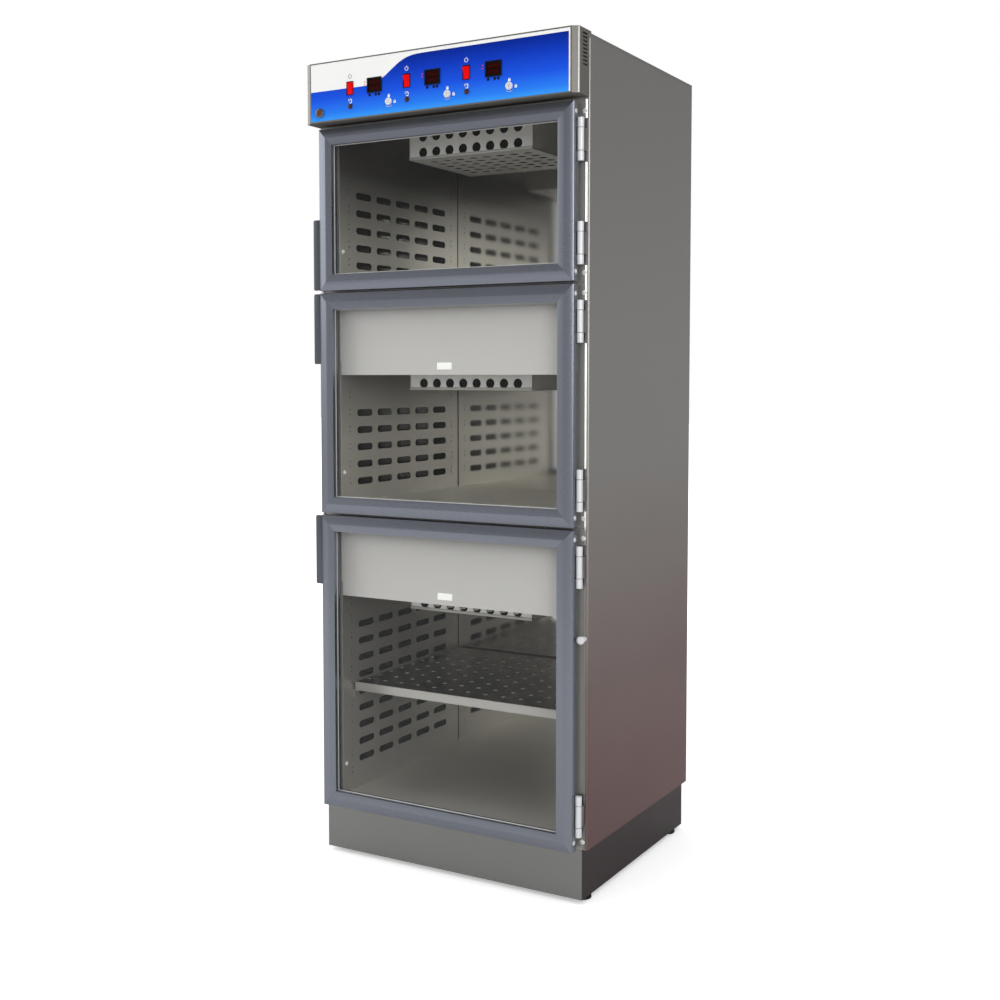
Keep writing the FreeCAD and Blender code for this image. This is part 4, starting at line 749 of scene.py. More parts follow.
# --- sub-assemblies ------------------------------------------------------------------
@dataclass
class Casing:
    """Outer sheets, plinth, feet and the screws of frame and back.

    Attributes:
        half_width: Half of the body's width.
        depth: Depth of the body.
        foot_inset: Place of a foot's axis from the body's side and front.
        screw_edge: Distance of the frame's screws from the body's side.
        screw_inset: Distance of the frame's screws from a door's ends.
        screw_radius: Radius of the screw heads.
        back_screw_edge: Distance of the back's screws from the body's side.
        back_screw_levels: Heights of the back's screws.
        stop_place: Foot of the stop knob's axis.
    """

    half_width: float = 381.0
    depth: float = 610.0
    foot_inset: Flat = (34.0, 48.0)
    screw_edge: float = 12.5
    screw_inset: float = 20.0
    screw_radius: float = 6.2
    back_screw_edge: float = 15.5
    back_screw_levels: tuple[float, ...] = (161.0, 761.666, 1362.333, 1963.0)
    stop_place: Point = (371.5, 0.0, 629.0)

    def build(self) -> None:
        """Dress the casing and add its feet, screws, edges and stop knob."""
        dress(side_panels=Finish.CASING, back_panel=Finish.BACK, top_cover=Finish.BACK,
              front_frame=Finish.FRAME, base_plinth=Finish.PLINTH, insulation=Finish.WOOL)
        self.feet()
        self.screws()
        self.door_stop()
        self.frame_edges()

    def frame_edges(self) -> None:
        """Add the folded edges of the front frame, beside and between the hinges, painted with a highlight
        above the lowest door.
        """
        draft = Draft([Finish.EDGE])
        ends = [DOOR_SPANS["lower"][0] + 3.0]
        for door in map(Door, CHAMBERS):
            for bottom in door.hinge_bottoms():
                ends += [bottom - 1.0, bottom + door.hinge_height + 1.0]
        ends.append(DOOR_SPANS["upper"][1] + 6.0)
        outer, inner = self.half_width - 6.0, self.half_width - 10.2
        section = [(outer, 0.0), (inner, 0.0), (inner, -2.2), (inner + 0.6, -2.9), (outer - 0.2, -0.5)]
        for side in (-1, 1):
            for span in zip(ends[::2], ends[1::2]):
                draft.loft([[(side * x, y, z) for x, y in section] for z in span])
        draft.finish_as("frame_edges", "cabinet", slot="bright_steel")

    def feet(self) -> None:
        """Add the four levelling feet."""
        half, inset = self.half_width - self.foot_inset[0], self.foot_inset[1]
        pad = [(0, 0), (18.6, 0), (19.7, 0.8), (20.0, 2.2), (20.0, 5.4), (18.8, 6.6), (17.4, 7.0), (0, 7.0)]
        spindle = [(6.0, 0.0), (6.0, 20.8), (4.8, 22.0), (0, 22.0)]
        for row, y in (("front", inset), ("rear", self.depth - inset)):
            for side, x in (("left", -half), ("right", half)):
                name = f"foot_{row}_{side}"
                draft = Draft([Finish.FOOT, Finish.ZINC])
                draft.turned((x, y, 0.0), UP, pad)
                draft.plate(level_plane(12.0), circle((x, y), 11.0, 6), 5.0, 1)
                draft.turned((x, y, 12.0), UP, spindle, 1, 24)
                draft.finish_as(f"levelling_{name}", name, name, "foot_steel")

    def screw(self, draft: Draft, origin: Point, out: int) -> None:
        """Add a domed screw head with a cross recess.

        Args:
            draft: Mesh that takes it.
            origin: Middle of its seat.
            out: -1 towards the front, 1 towards the back, where the heads are flatter.
        """
        r, tall = self.screw_radius, 1.0 if out < 0 else 0.5
        dome = [(r, 0), (r, 1.6), (r * 0.88, 2.7), (r * 0.5, 3.5), (0, 3.8)]
        draft.turned(origin, (0.0, float(out), 0.0), [(radius, rise * tall) for radius, rise in dome], 0, 24)
        x, y, z = origin
        for half_width, half_height in ((0.65, 2.6), (2.6, 0.65)):
            draft.block(around(x, half_width), (y + out * 3.2 * tall, y + out * 3.82 * tall),
                        around(z, half_height), 1)

    def screws(self) -> None:
        """Add the screws of the front frame and of the back."""
        draft = Draft([Finish.SCREW, Finish.SATIN])
        for low, high in DOOR_SPANS.values():
            for z in (low + self.screw_inset, high - self.screw_inset):
                for side in (-1, 1):
                    self.screw(draft, (side * (self.half_width - self.screw_edge), 0.0, z), -1)
        for side in (-1, 1):
            for z in self.back_screw_levels:
                self.screw(draft, (side * (self.half_width - self.back_screw_edge), self.depth, z), 1)
        draft.finish_as("casing_screws", "cabinet", "panel_screws", "bright_steel")

    def door_stop(self) -> None:
        """Add the turned stop knob beside the lowest door."""
        draft = Draft([Finish.SATIN])
        draft.turned(self.stop_place, FORWARD,
                     [(0, 0), (6.0, 0), (6.0, 17.0), (7.0, 17.8), (8.9, 18.0), (9.5, 18.8), (9.5, 21.6),
                      (8.9, 23.2), (7.4, 24.3), (4.0, 24.9), (0, 25.0)], 0, 40)
        draft.finish_as("stop_knob", "cabinet", "door_stop", "chrome")


@dataclass
class Chamber:
    """Inside of one chamber.

    Attributes:
        name: Which chamber.
        duct_face: Distance of the duct panels from the middle.
        thickness: Thickness of the duct panels.
        depth: Span of the panels from front to back.
        slot: Length and height of a slot.
        slot_columns: Slots in a row.
        slot_pitch: Distance of the slots along and up.
        slot_first: Depth of the first slot's middle.
        pin_columns: Depths of the two columns of shelf pin holes.
        pin_pitch: Distance between pairs of pin holes.
        pin_rise: Height of the lowest pair over the floor.
        pin_half_gap: Half of the distance between the two holes of a pair.
        probe_place: Foot of the probe's axis, by its depth and its height over the door's lower end.
    """

    name: str
    duct_face: float = 318.0
    thickness: float = 1.5
    depth: Span = (2.0, 562.0)
    slot: Flat = (68.0, 18.0)
    slot_columns: int = 5
    slot_pitch: Flat = (90.0, 44.4)
    slot_first: float = 104.0
    pin_columns: Flat = (39.0, 528.0)
    pin_pitch: float = 44.4
    pin_rise: float = 52.0
    pin_half_gap: float = 6.5
    probe_place: Flat = (14.0, 100.0)

    def build(self, panels: Draft, probes: Draft) -> None:
        """Dress the liner and add the two slotted duct panels and the probe's tip.

        Args:
            panels: Mesh that takes the panels.
            probes: Mesh that takes the tip.
        """
        dress(**{f"liner_{self.name}": Finish.LINER, f"blower_wheel_{self.name}": Finish.ZINC})
        low, high = FLOORS[self.name], CEILINGS[self.name]
        front, back = self.depth
        outline = [(front, low), (back, low), (back, high), (front, high)]
        first = low + SLOT_RISES[self.name]
        holes = [rounded((self.slot_first + column * self.slot_pitch[0], first + row * self.slot_pitch[1]),
                         self.slot, self.slot[1] / 2 - 0.2, 5)
                 for row in range(SLOT_ROWS[self.name]) for column in range(self.slot_columns)]
        pairs = int((high - low - 60) / self.pin_pitch)
        holes += [circle((y, low + self.pin_rise + pair * self.pin_pitch + offset), 2.4, 8)
                  for y in self.pin_columns for pair in range(pairs)
                  for offset in (-self.pin_half_gap, self.pin_half_gap)]
        for x in (self.duct_face + self.thickness, -self.duct_face):
            panels.sheet(Placing((x, 0.0, 0.0), BACKWARD, UP), outline, holes, self.thickness)
        depth, rise = self.probe_place
        probes.turned((-self.duct_face, depth, DOOR_SPANS[self.name][0] + rise), RIGHT,
                      [(6.0, 0), (6.0, 0.6), (5.4, 1.0), (3.0, 1.0), (3.0, 3.2), (2.2, 4.0), (0, 4.0)], 0, 24)


@dataclass
class IntakeBox:
    """Perforated box below a chamber's ceiling.

    Attributes:
        chamber: Which chamber.
        half_width: Half of its width.
        depth: Its span from front to back.
        height: Its height.
        hole_radius: Radius of the holes.
        pitch: Distance of the holes.
        columns: Holes in a row.
        rows: Rows of holes in the front.
        under_rows: Rows of holes in the bottom.
        first_row: Lowest row of the front over the lower edge.
        lining: Thickness of the dark lining, which stands for the shade inside.
    """

    chamber: str
    half_width: float = 178.0
    depth: Span = (107.0, 407.0)
    height: float = 72.0
    hole_radius: float = 12.2
    pitch: float = 39.0
    columns: int = 8
    rows: int = 2
    under_rows: int = 6
    first_row: float = 17.0
    lining: float = 0.2

    def build(self, draft: Draft) -> None:
        """Add the box with its round holes and its bright lower lip.

        Args:
            draft: Mesh that takes it; finish 1 is the lip and finish 2 the shaded inside.
        """
        high = CEILINGS[self.chamber]
        low = high - self.height
        half, (front, back) = self.half_width, self.depth
        across = [(column - (self.columns - 1) / 2) * self.pitch for column in range(self.columns)]
        face = [(-half, low), (half, low), (half, high), (-half, high)]
        holes = [circle((x, low + self.first_row + row * self.pitch), self.hole_radius, 20)
                 for x in across for row in range(self.rows)]
        draft.sheet(front_plane(front), face, holes)
        draft.sheet(front_plane(front + 1.55), face, holes, self.lining, 2)
        draft.sheet(front_plane(back - 1.5), face)
        first = (front + back) / 2 - (self.under_rows - 1) / 2 * self.pitch
        under = [circle((x, first + row * self.pitch), self.hole_radius, 14)
                 for x in across for row in range(self.under_rows)]
        bottom = [(-half, front), (half, front), (half, back), (-half, back)]
        draft.sheet(level_plane(low + 1.5), bottom, under)
        draft.sheet(level_plane(low + 1.8), bottom, under, self.lining, 2)
        for side in (-1, 1):
            draft.block((side * half, side * (half - 1.5)), (front, back), (low, high))
            draft.block((side * (half - 1.55), side * (half - 1.8)), (front + 2, back - 2),
                        (low + 2, high), 2)
        draft.block(around(0.0, half - 2), (back - 1.9, back - 1.6), (low + 2, high), 2)
        draft.block(around(0.0, half - 2), (front + 2, back - 2), (high - 0.5, high - 0.2), 2)
        draft.block(around(0.0, half), (front - 2.2, front + 1.0), (low, low + 7.0), 1, 1.1)


@dataclass
class Shelf:
    """Perforated shelf with lips turned down, and its clips.

    Attributes:
        half_width: Half of its width.
        depth: Its span from front to back.
        top: Height of its upper face.
        lip: Height of its lips.
        hole_radius: Radius of the holes.
        pitch: Distance of the holes.
        margin: Width without holes along the sides, and along front and back.
        rim: Section of a hole's pressed rim.
    """

    half_width: float = 313.0
    depth: Span = (45.0, 553.0)
    top: float = 441.0
    lip: float = 22.0
    hole_radius: float = 6.2
    pitch: float = 50.6
    margin: Flat = (8.0, 40.0)
    rim: tuple[Flat, ...] = ((5.5, 0.0), (5.5, 3.4), (6.0, 3.75), (6.2, 3.4), (5.8, 0.0))

    def build(self) -> None:
        """Add the shelf and dress its clips."""
        draft = Draft([Finish.SHELF, Finish.LIP, Finish.RIM])
        half, (front, back) = self.half_width, self.depth
        middle = (front + back) / 2
        columns, rows = [[(i - (count - 1) / 2) * self.pitch for i in range(count)] for count in
                         (int((2 * size - 2 * margin) // self.pitch) + 1
                          for size, margin in zip((half, (back - front) / 2), self.margin))]
        places = [(x, middle + y) for y in rows for x in columns]
        draft.sheet(level_plane(self.top - 0.6), box((0.0, middle), (2 * half - 4, back - front - 4)),
                    [circle(place, self.hole_radius) for place in places], 1.2)
        for x, y in places:
            draft.turned((x, y, self.top - 4.4), UP, self.rim, 2, 20)
        height = (self.top - self.lip, self.top)
        draft.block((-half, half), (front, front + 1.8), height, 1, 0.8)
        draft.block((-half, half), (back - 1.6, back), height, 0, 0.7)
        for side in (-1, 1):
            draft.block((side * half, side * (half - 1.8)), (front, back), height, 0, 0.7)
        draft.finish_as("perforated_shelf", "shelf", "shelf", "liner_steel")
        dress(shelf_clips=Finish.DUCT)


@dataclass
class BlowerSpace:
    """Covers in front of the blower spaces, and what stands in these spaces.

    Attributes:
        label: Width and height of the blank label.
        label_x: Middle of the label.
        label_rise: Lower edge of the label, measured from the chamber's ceiling.
        cover_face: Depth of the label's face, just in front of the cover.
    """

    label: Flat = (42.0, 16.5)
    label_x: float = -8.5
    label_rise: float = -21.0
    cover_face: float = 1.75

    def build(self) -> None:
        """Dress the blowers and covers and add the blank labels."""
        dress(blower_covers=Finish.COVER, blower_motors=Finish.MOTOR, motor_bridges=Finish.ZINC,
              strip_heaters=Finish.HEATER)
        draft = Draft([Finish.LABEL])
        for chamber in ("lower", "middle"):
            middle = CEILINGS[chamber] + self.label_rise + self.label[1] / 2
            draft.plate(front_plane(self.cover_face), rounded((self.label_x, middle), self.label, 1.5), 0.3)
        draft.finish_as("blank_labels", "cabinet", slot="light_paint")


@dataclass
class Door:
    """One glass door with its frame, pull, hinges and plugs.

    Attributes:
        name: Which door.
        half_width: Half of its width.
        member: Width of its frame section.
        ridge: Ridge from the outer edge.
        face: Ridge in front of the cabinet's frame.
        rear: Rear face in front of the cabinet's frame.
        groove: Depths of the glass groove's walls.
        groove_depth: Depth of the glass groove in the section.
        mitre_gap: Half of the hair gap at a mitre.
        pull_height: Height of the pull.
        pull_reach: Reach of the pull beside the door.
        pull_radius: Radius of the pull's outer corners.
        hinge_height: Height of a hinge.
        hinge_inset: Distance of the hinges from the door's ends.
        hinge_axis: Place of the hinges' axis.
        pin_radius: Radius of the hinge pin.
        plug_inset: Distance of the corner plugs from the door's ends.
    """

    name: str
    half_width: float = 357.5
    member: float = 40.5
    ridge: float = 22.5
    face: float = 38.0
    rear: float = 12.0
    groove: Span = (-24.3, -17.7)
    groove_depth: float = 7.0
    mitre_gap: float = 0.12
    pull_height: float = 176.0
    pull_reach: float = 19.0
    pull_radius: float = 4.5
    hinge_height: float = 96.0
    hinge_inset: float = 37.0
    hinge_axis: Flat = (367.5, -19.5)
    pin_radius: float = 3.0
    plug_inset: float = 22.0

    def piece(self, draft: Draft, name: str, replaced: str = "", **values: object) -> None:
        """Turn a draft into a piece that rides on this door, with the door's name added to the names."""
        node = replaced and f"{replaced}_{self.name}"
        draft.finish_as(f"{name}_{self.name}", f"door_{self.name}", node, **values)

    def profile(self) -> list[Flat]:
        """Give the section of a frame member.

        Returns:
            Its corners, as distances inwards from the door's edge and depths.
        """
        outer, front = -self.face + 4.5, -self.face
        near, far = self.groove
        deep = self.member - self.groove_depth
        return [(0.0, -self.rear), (0.0, outer + 1.5), (0.35, outer + 0.55), (1.5, outer - 0.3),
                (self.ridge - 1.2, front + 0.22), (self.ridge, front), (self.ridge + 1.2, front + 0.12),
                (self.member - 0.8, front + 1.95), (self.member - 0.2, front + 2.2),
                (self.member, front + 2.9), (self.member, near), (deep, near), (deep, far),
                (self.member, far), (self.member, -self.rear)]

    def corner(self, index: int, inwards: float, depth: float) -> Point:
        """Give a point on the mitre of a corner.

        Args:
            index: Corner, anticlockwise from the lower left.
            inwards: Distance inwards from the door's edges.
            depth: Depth in front of the cabinet's frame, negative.

        Returns:
            The point.
        """
        low, high = DOOR_SPANS[self.name]
        x = (self.half_width - inwards) * (1 if index in (1, 2) else -1)
        return (x, depth, high - inwards if index in (2, 3) else low + inwards)

    def frame_members(self) -> None:
        """Add the four mitred members, each with a hair gap at its ends."""
        draft = Draft([Finish.ANODISED])
        for ends in ((index, (index + 1) % 4) for index in range(4)):
            first, last = [Vector(self.corner(end, 0, 0)) for end in ends]
            gap = (last - first).normalized() * self.mitre_gap
            draft.loft([[Vector(self.corner(end, u, y)) + shift for u, y in self.profile()]
                        for end, shift in zip(ends, (gap, -gap))])
        self.piece(draft, "door_section", "door_frame", slot="anodised_aluminium", smooth=False)

    def glazing_bead(self) -> None:
        """Add the light bead between the frame's lip and the front of the glass."""
        draft = Draft([Finish.BEAD])
        section = ((self.member - 1.0, -24.35), (self.member - 1.0, -25.4), (self.member + 1.2, -25.9),
                   (self.member + 2.2, -25.2), (self.member + 2.2, -24.35))
        for ends in ((index, (index + 1) % 4) for index in range(4)):
            draft.loft([[self.corner(end, u, y) for u, y in section] for end in ends], capped=False)
        self.piece(draft, "glazing_bead", slot="gasket_rubber")

    def pull(self) -> None:
        """Add the flat angle pull with its rounded outer corners."""
        low, high = DOOR_SPANS[self.name]
        bottom = low + 1.5 if self.name == "upper" else high - 1.5 - self.pull_height
        top, front = bottom + self.pull_height, -self.face + 5.0
        edge, radius = -self.half_width, self.pull_radius
        middle = edge - self.pull_reach + radius
        outline = [(edge, bottom), (edge, top), *arc((middle, top - radius), radius, 0.5, 0.5, 6),
                   *arc((middle, bottom + radius), radius, 1.0, 0.5, 6)]
        draft = Draft([Finish.PULL])
        draft.plate(front_plane(front), outline, 3.0)
        draft.block((edge - 3.0, edge), (front + 3.0, front + 20.0), (bottom, top))
        self.piece(draft, "pull", "door_pull", slot="dark_aluminium", bevel=0.5)

    def hinge_bottoms(self) -> list[float]:
        """Give the lower ends of the door's two hinges."""
        low, high = DOOR_SPANS[self.name]
        return [low + self.hinge_inset, high - self.hinge_inset - self.hinge_height]

    def hinge_leaves(self) -> None:
        """Add the leaves on the door's side with their knuckles, black rings between the knuckles as painted
        shade, and the corner plugs.
        """
        draft = Draft([Finish.HINGE, Finish.LEAF, Finish.BLACK])
        edge, axis, bore = self.half_width, self.hinge_axis, self.pin_radius + 0.15
        for bottom in self.hinge_bottoms():
            top = bottom + self.hinge_height
            draft.block((edge, edge + 2.0), (-32.0, -12.5), (bottom, top), 1, 0.4)
            for start, end in ((bottom, bottom + 21.9), (top - 21.9, top)):
                long = end - start
                knuckle = [(7.1, 0), (7.5, 0.4), (7.5, long - 0.4), (7.1, long)]
                draft.turned((*axis, start), UP, [(bore, 0), *knuckle, (bore, long), (bore, 0)])
                draft.block((edge + 1.0, axis[0] - 4.0), (-24.2, -21.7), (start + 0.1, end - 0.1), 1, 0.2)
            # Black rings in the gaps between knuckles: painted shade.
            for start in (bottom + 22.0, top - 22.8):
                draft.turned((*axis, start), UP, [(bore, 0), (6.9, 0), (6.9, 0.8), (bore, 0.8), (bore, 0)], 2)
        low, high = DOOR_SPANS[self.name][0] + self.plug_inset, DOOR_SPANS[self.name][1] - self.plug_inset
        left_plug = (-edge, high if self.name == "upper" else low, LEFT)
        for x, z, out in ((edge, low, RIGHT), (edge, high, RIGHT), left_plug):
            draft.turned((x, -24.0, z), out, [(5.5, 0), (5.5, 0.6), (4.9, 1.2), (3.0, 1.48), (0, 1.5)], 0, 24)
        self.piece(draft, "door_leaves", "door_hinges", slot="bright_steel")

    def frame_leaves(self, draft: Draft) -> None:
        """Add the leaves on the cabinet's frame, with web, middle knuckle and pin.

        Args:
            draft: Mesh that takes them.
        """
        axis, pin = self.hinge_axis, self.pin_radius
        for bottom in self.hinge_bottoms():
            top = bottom + self.hinge_height
            draft.block((self.half_width + 1.5, 375.0), (-2.5, 0.0), (bottom, top), 1, 0.4)
            low, high = bottom + 22.9, top - 22.9
            draft.block((372.5, 375.0), (axis[1], -1.5), (low, high), 1, 0.3)
            knuckle = [(7.0, 0), (7.5, 0.5), (7.5, high - low - 0.5), (7.0, high - low)]
            draft.turned((*axis, low), UP, [(0, 0), *knuckle, (0, high - low)])
            for start, end in ((bottom, low), (high, top)):
                draft.turned((*axis, start), UP, [(0, 0), (pin, 0), (pin, end - start), (0, end - start)])

    def build(self) -> None:
        """Build and dress the door."""
        self.frame_members()
        self.glazing_bead()
        self.pull()
        self.hinge_leaves()
        dress(**{f"door_glass_{self.name}": Finish.GLASS, f"door_gasket_{self.name}": Finish.RUBBER})


@dataclass
class Header:
    """Control header with its printed overlay and every control.

    Controls stand at a distance from the left end of their group, and at a height over the
    header's lower edge.

    Attributes:
        left: Left side of the header.
        bottom: Lower edge of the header.
        front: Face of the overlay.
        pitch: Distance between the control groups.
        film_half: Half of the overlay's width.
        film_span: Heights of the overlay's edges.
        corner: Place of the rounded edge between chamfer and side.
        corner_height: Height of that edge.
        rocker: Place of the power rockers.
        controller: Place of the temperature controllers.
        key: Place of the key switches.
        reset: Place of the reset buttons.
        panel: Place of the panel lock.
        window: Width and height of a display.
        tilt: Angle of the rockers, in degrees.
        wave: Corners of the edge between the overlay's white and blue parts, left to right.
    """

    left: float = -378.5
    bottom: float = 1860.0
    front: float = -59.0
    pitch: float = 166.0
    film_half: float = 360.2
    film_span: Span = (1863.5, 2002.5)
    corner: Flat = (376.0, -49.46)
    corner_height: float = 144.4
    rocker: Flat = (137.5, 74.5)
    controller: Flat = (210.5, 75.0)
    key: Flat = (252.0, 31.0)
    reset: Flat = (138.5, 31.0)
    panel: Flat = (45.5, 23.5)
    window: Flat = (35.6, 28.6)
    tilt: float = 7.0
    wave: tuple[Flat, ...] = (
        (-356.7, 1935.8), (-250.0, 1935.6), (-200.0, 1935.4), (-176.0, 1937.2), (-156.0, 1943.6),
        (-136.0, 1954.5), (-116.0, 1968.0), (-98.0, 1979.5), (-80.0, 1987.8), (-60.0, 1992.6),
        (-36.0, 1994.4), (60.0, 1994.8), (356.7, 1995.0))

    def spot(self, control: Flat, group: int = 0) -> Flat:
        """Give the x and z of a control of a group, counted from the left."""
        return (self.left + control[0] + group * self.pitch, self.bottom + control[1])

    def pressed(self, draft: Draft, place: Flat, profile: Sequence[Flat], finish: int = 0,
                steps: int = 40) -> None:
        """Add a turned shape that stands out of the overlay at a place."""
        draft.turned((place[0], self.front, place[1]), FORWARD, profile, finish, steps)

    def build(self) -> None:
        """Build and dress the header."""
        dress(header_box=Finish.HEADER)
        self.corner_edges()
        self.overlay()
        self.pictograms()
        self.rockers()
        self.controllers()
        self.locks()
        self.reset_buttons()

    def corner_edges(self) -> None:
        """Add the round edges between the header's chamfers and its sides, near white: a painted highlight.
        """
        draft = Draft([Finish.EDGE])
        (x, y), height = self.corner, self.corner_height
        for side in (-1, 1):
            draft.turned((side * x, y, self.bottom + 0.6), UP, [(0, 0), (3.0, 0), (3.0, height), (0, height)])
        draft.finish_as("header_edges", "cabinet", slot="bright_steel")

    def wave_line(self, steps: int = 6) -> list[Flat]:
        """Give a smooth line through the wave's corners.

        Args:
            steps: Parts between two corners.

        Returns:
            The points, from left to right.
        """
        points = []
        for i, (second, third) in enumerate(zip(self.wave, self.wave[1:])):
            first, fourth = self.wave[max(i - 1, 0)], self.wave[min(i + 2, len(self.wave) - 1)]
            run = third[0] - second[0]
            rises = [run * (b[1] - a[1]) / (b[0] - a[0]) for a, b in ((first, third), (second, fourth))]
            for t in (step / steps for step in range(steps)):
                height = ((2 * t ** 3 - 3 * t ** 2 + 1) * second[1] + (t ** 3 - 2 * t ** 2 + t) * rises[0]
                          + (3 * t ** 2 - 2 * t ** 3) * third[1] + (t ** 3 - t ** 2) * rises[1])
                points.append((second[0] + run * t, height))
        return [*points, self.wave[-1]]

    def cutouts(self) -> list[list[Flat]]:
        """Give the openings that the controls need in the overlay.

        Returns:
            The edges of the openings.
        """
        holes = []
        for group in range(3):
            holes += [rounded(self.spot(self.rocker, group), (20.0, 32.6), 0.8),
                      rounded(self.spot(self.controller, group), (39.4, 32.4), 0.8),
                      circle(self.spot(self.key, group), 7.8, 20),
                      circle(self.spot(self.reset, group), 5.8, 20)]
        return [*holes, circle(self.spot(self.panel), 9.8, 20)]

    def overlay(self) -> None:
        """Add the printed overlay: white field, blue field and the domed keys."""
        draft = Draft([Finish.WHITE_FILM, Finish.BLUE_FILM, Finish.KEY])
        dome = [(3.7, 0), (3.7, 0.25), (3.0, 0.5), (0, 0.6)]
        low, high = self.film_span
        outline = rounded((0.0, (low + high) / 2), (2 * self.film_half, high - low), 1.5)
        left, (start, level), (end, _) = -self.film_half - 1, self.wave[0], self.wave[-1]
        blue = [(left, low - 1), (end, low - 1), *self.wave_line()[::-1], (left, level)]
        draft.sheet(front_plane(self.front), outline, self.cutouts(), 0.5, 0, [(blue, 1)])
        for group in range(3):
            x, z = self.spot(self.controller, group)
            for offset in (-14.5, 3.5, 12.5):
                self.pressed(draft, (x + offset, z - 22.8), dome, 2, 20)
        draft.finish_as("printed_overlay", "cabinet", "control_overlay", "blue_overlay")

    def patch(self, draft: Draft, outline: Sequence[Flat], finish: int = 0, lift: float = 0.12) -> None:
        """Add a thin printed patch over the overlay."""
        plane = front_plane(self.front)
        draft.face(draft.points(plane.at(point, lift) for point in outline), finish)

    def ring(self, draft: Draft, centre: Flat, radius: float, width: float, turn: Span = (0.0, 360.0),
             finish: int = 0) -> None:
        """Add a printed arc.

        Args:
            draft: Mesh that takes it.
            centre: Middle of the arc.
            radius: Its middle radius.
            width: Width of the line.
            turn: First and last angle in degrees.
            finish: Index of the finish.
        """
        start, end = [angle / 180.0 for angle in turn]
        inner, outer = [arc(centre, edge, start, end - start, 18) for edge in around(radius, width / 2)]
        for i in range(18):
            self.patch(draft, [inner[i], outer[i], outer[i + 1], inner[i + 1]], finish)

    def pictograms(self) -> None:
        """Add the power signs, padlocks and reset signs, and the indicator lenses."""
        draft = Draft([Finish.PRINT_WHITE, Finish.HEADER, Finish.LENS])
        for group in range(3):
            tone = 1 if group == 0 else 0
            x, z = self.spot(self.rocker, group)
            self.ring(draft, (x, z + 28.5), 4.6, 1.3, (120.0, 420.0), tone)
            self.patch(draft, box((x, z + 32.7), (1.3, 5.0)), tone)
            x, z = self.spot(self.key, group)
            for place in ((x, z + 14.6), (x + 17.0, z - 1.0)):
                self.patch(draft, box((place[0], place[1] - 1.6), (6.4, 5.0)))
                self.ring(draft, (place[0], place[1] + 0.9), 2.2, 1.1, (0.0, 180.0))
            self.ring(draft, (x, z), 12.4, 0.7, (225.0, 315.0))
            x, z = self.spot(self.reset, group)
            self.ring(draft, (x, z + 13.4), 3.9, 2.0, (-60.0, 200.0))
            self.patch(draft, box((x - 3.4, z + 15.6), (4.6, 4.4)))
            self.patch(draft, box((x + 0.8, z + 8.2), (6.8, 2.0)))
            x, z = self.spot(self.controller, group)
            for rise in (9.6, 3.0):
                self.pressed(draft, (x - 28.8, z + rise), [(1.6, 0), (1.6, 0.5), (1.1, 1.0), (0, 1.2)], 2, 16)
        draft.finish_as("printed_signs", "cabinet", slot="white_plastic")

    def rockers(self) -> None:
        """Add the rocker housings and the red rockers."""
        housings = Draft([Finish.BLACK])
        pivot, front, back = self.front + 4.0, self.front, self.front + 24.0
        cos, sin = math.cos(math.radians(self.tilt)), math.sin(math.radians(self.tilt))
        section = [(14.2, 5.2), (13.6, 5.6), (9.0, 4.7), (0.0, 3.8), (-9.0, 4.7), (-13.6, 5.6), (-14.2, 5.2),
                   (-14.0, 0.0), (-7.0, -4.0), (7.0, -4.0), (14.0, 0.0)]
        for group, chamber in enumerate(reversed(CHAMBERS)):
            x, z = self.spot(self.rocker, group)
            housings.sheet(front_plane(front - 1.2), rounded((x, z), (20.4, 32.8), 1.2),
                           [rounded((x, z), (18.6, 30.8), 0.5)], 1.7)
            for side in (-1, 1):
                housings.block((x + side * 9.3, x + side * 10.3), (front, back), around(z, 16.4))
                housings.block(around(x, 9.3), (front, back), (z + side * 15.4, z + side * 16.4))
            housings.block(around(x, 9.3), (front + 14.0, back), around(z, 15.4))
            draft = Draft([Finish.RED])
            draft.loft([[(end, pivot - rise * cos - along * sin, z - rise * sin + along * cos)
                         for along, rise in section] for end in around(x, 9.0)])
            name = f"power_rocker_{chamber}"
            draft.finish_as(f"red_rocker_{chamber}", name, name, "red_plastic", 0.35)
        housings.finish_as("switch_housings", "cabinet", "rocker_housings", "black_plastic")

    def digits(self, draft: Draft, corner: Flat, height: float = 9.2) -> None:
        """Add a row of four seven-segment digits.

        Args:
            draft: Mesh that takes them; finish 2 is their colour.
            corner: Lower left corner of the first digit.
            height: Height of a digit.
        """
        width, line, half = height * 0.56, height * 0.13, height / 2
        bars = [((width / 2, rise), (width, line)) for rise in (0.0, half, height)]
        bars += [((side, rise), (line, half)) for side in (0.0, width) for rise in (half * 0.5, half * 1.5)]
        for place in range(4):
            left = corner[0] + place * width * 1.5
            for (x, z), size in bars:
                self.patch(draft, box((left + x, corner[1] + z), size), 2, 1.1)

    def controllers(self) -> None:
        """Add the temperature controllers with their displays."""
        draft = Draft([Finish.BLACK, Finish.DISPLAY, Finish.DIGIT])
        for group in range(3):
            x, z = self.spot(self.controller, group)
            window = rounded((x, z), self.window, 1.0)
            draft.sheet(front_plane(self.front - 2.0), rounded((x, z), (43.0, 36.0), 1.5), [window], 2.0)
            draft.block(around(x, 19.5), (self.front - 0.9, self.front + 42.0), around(z, 16.0))
            draft.plate(front_plane(self.front - 1.0), window, 0.1, 1)
            for rise in (2.4, -11.4):
                self.digits(draft, (x - 14.2, z + rise))
        draft.finish_as("controller_fronts", "cabinet", "temperature_controllers", "black_plastic")

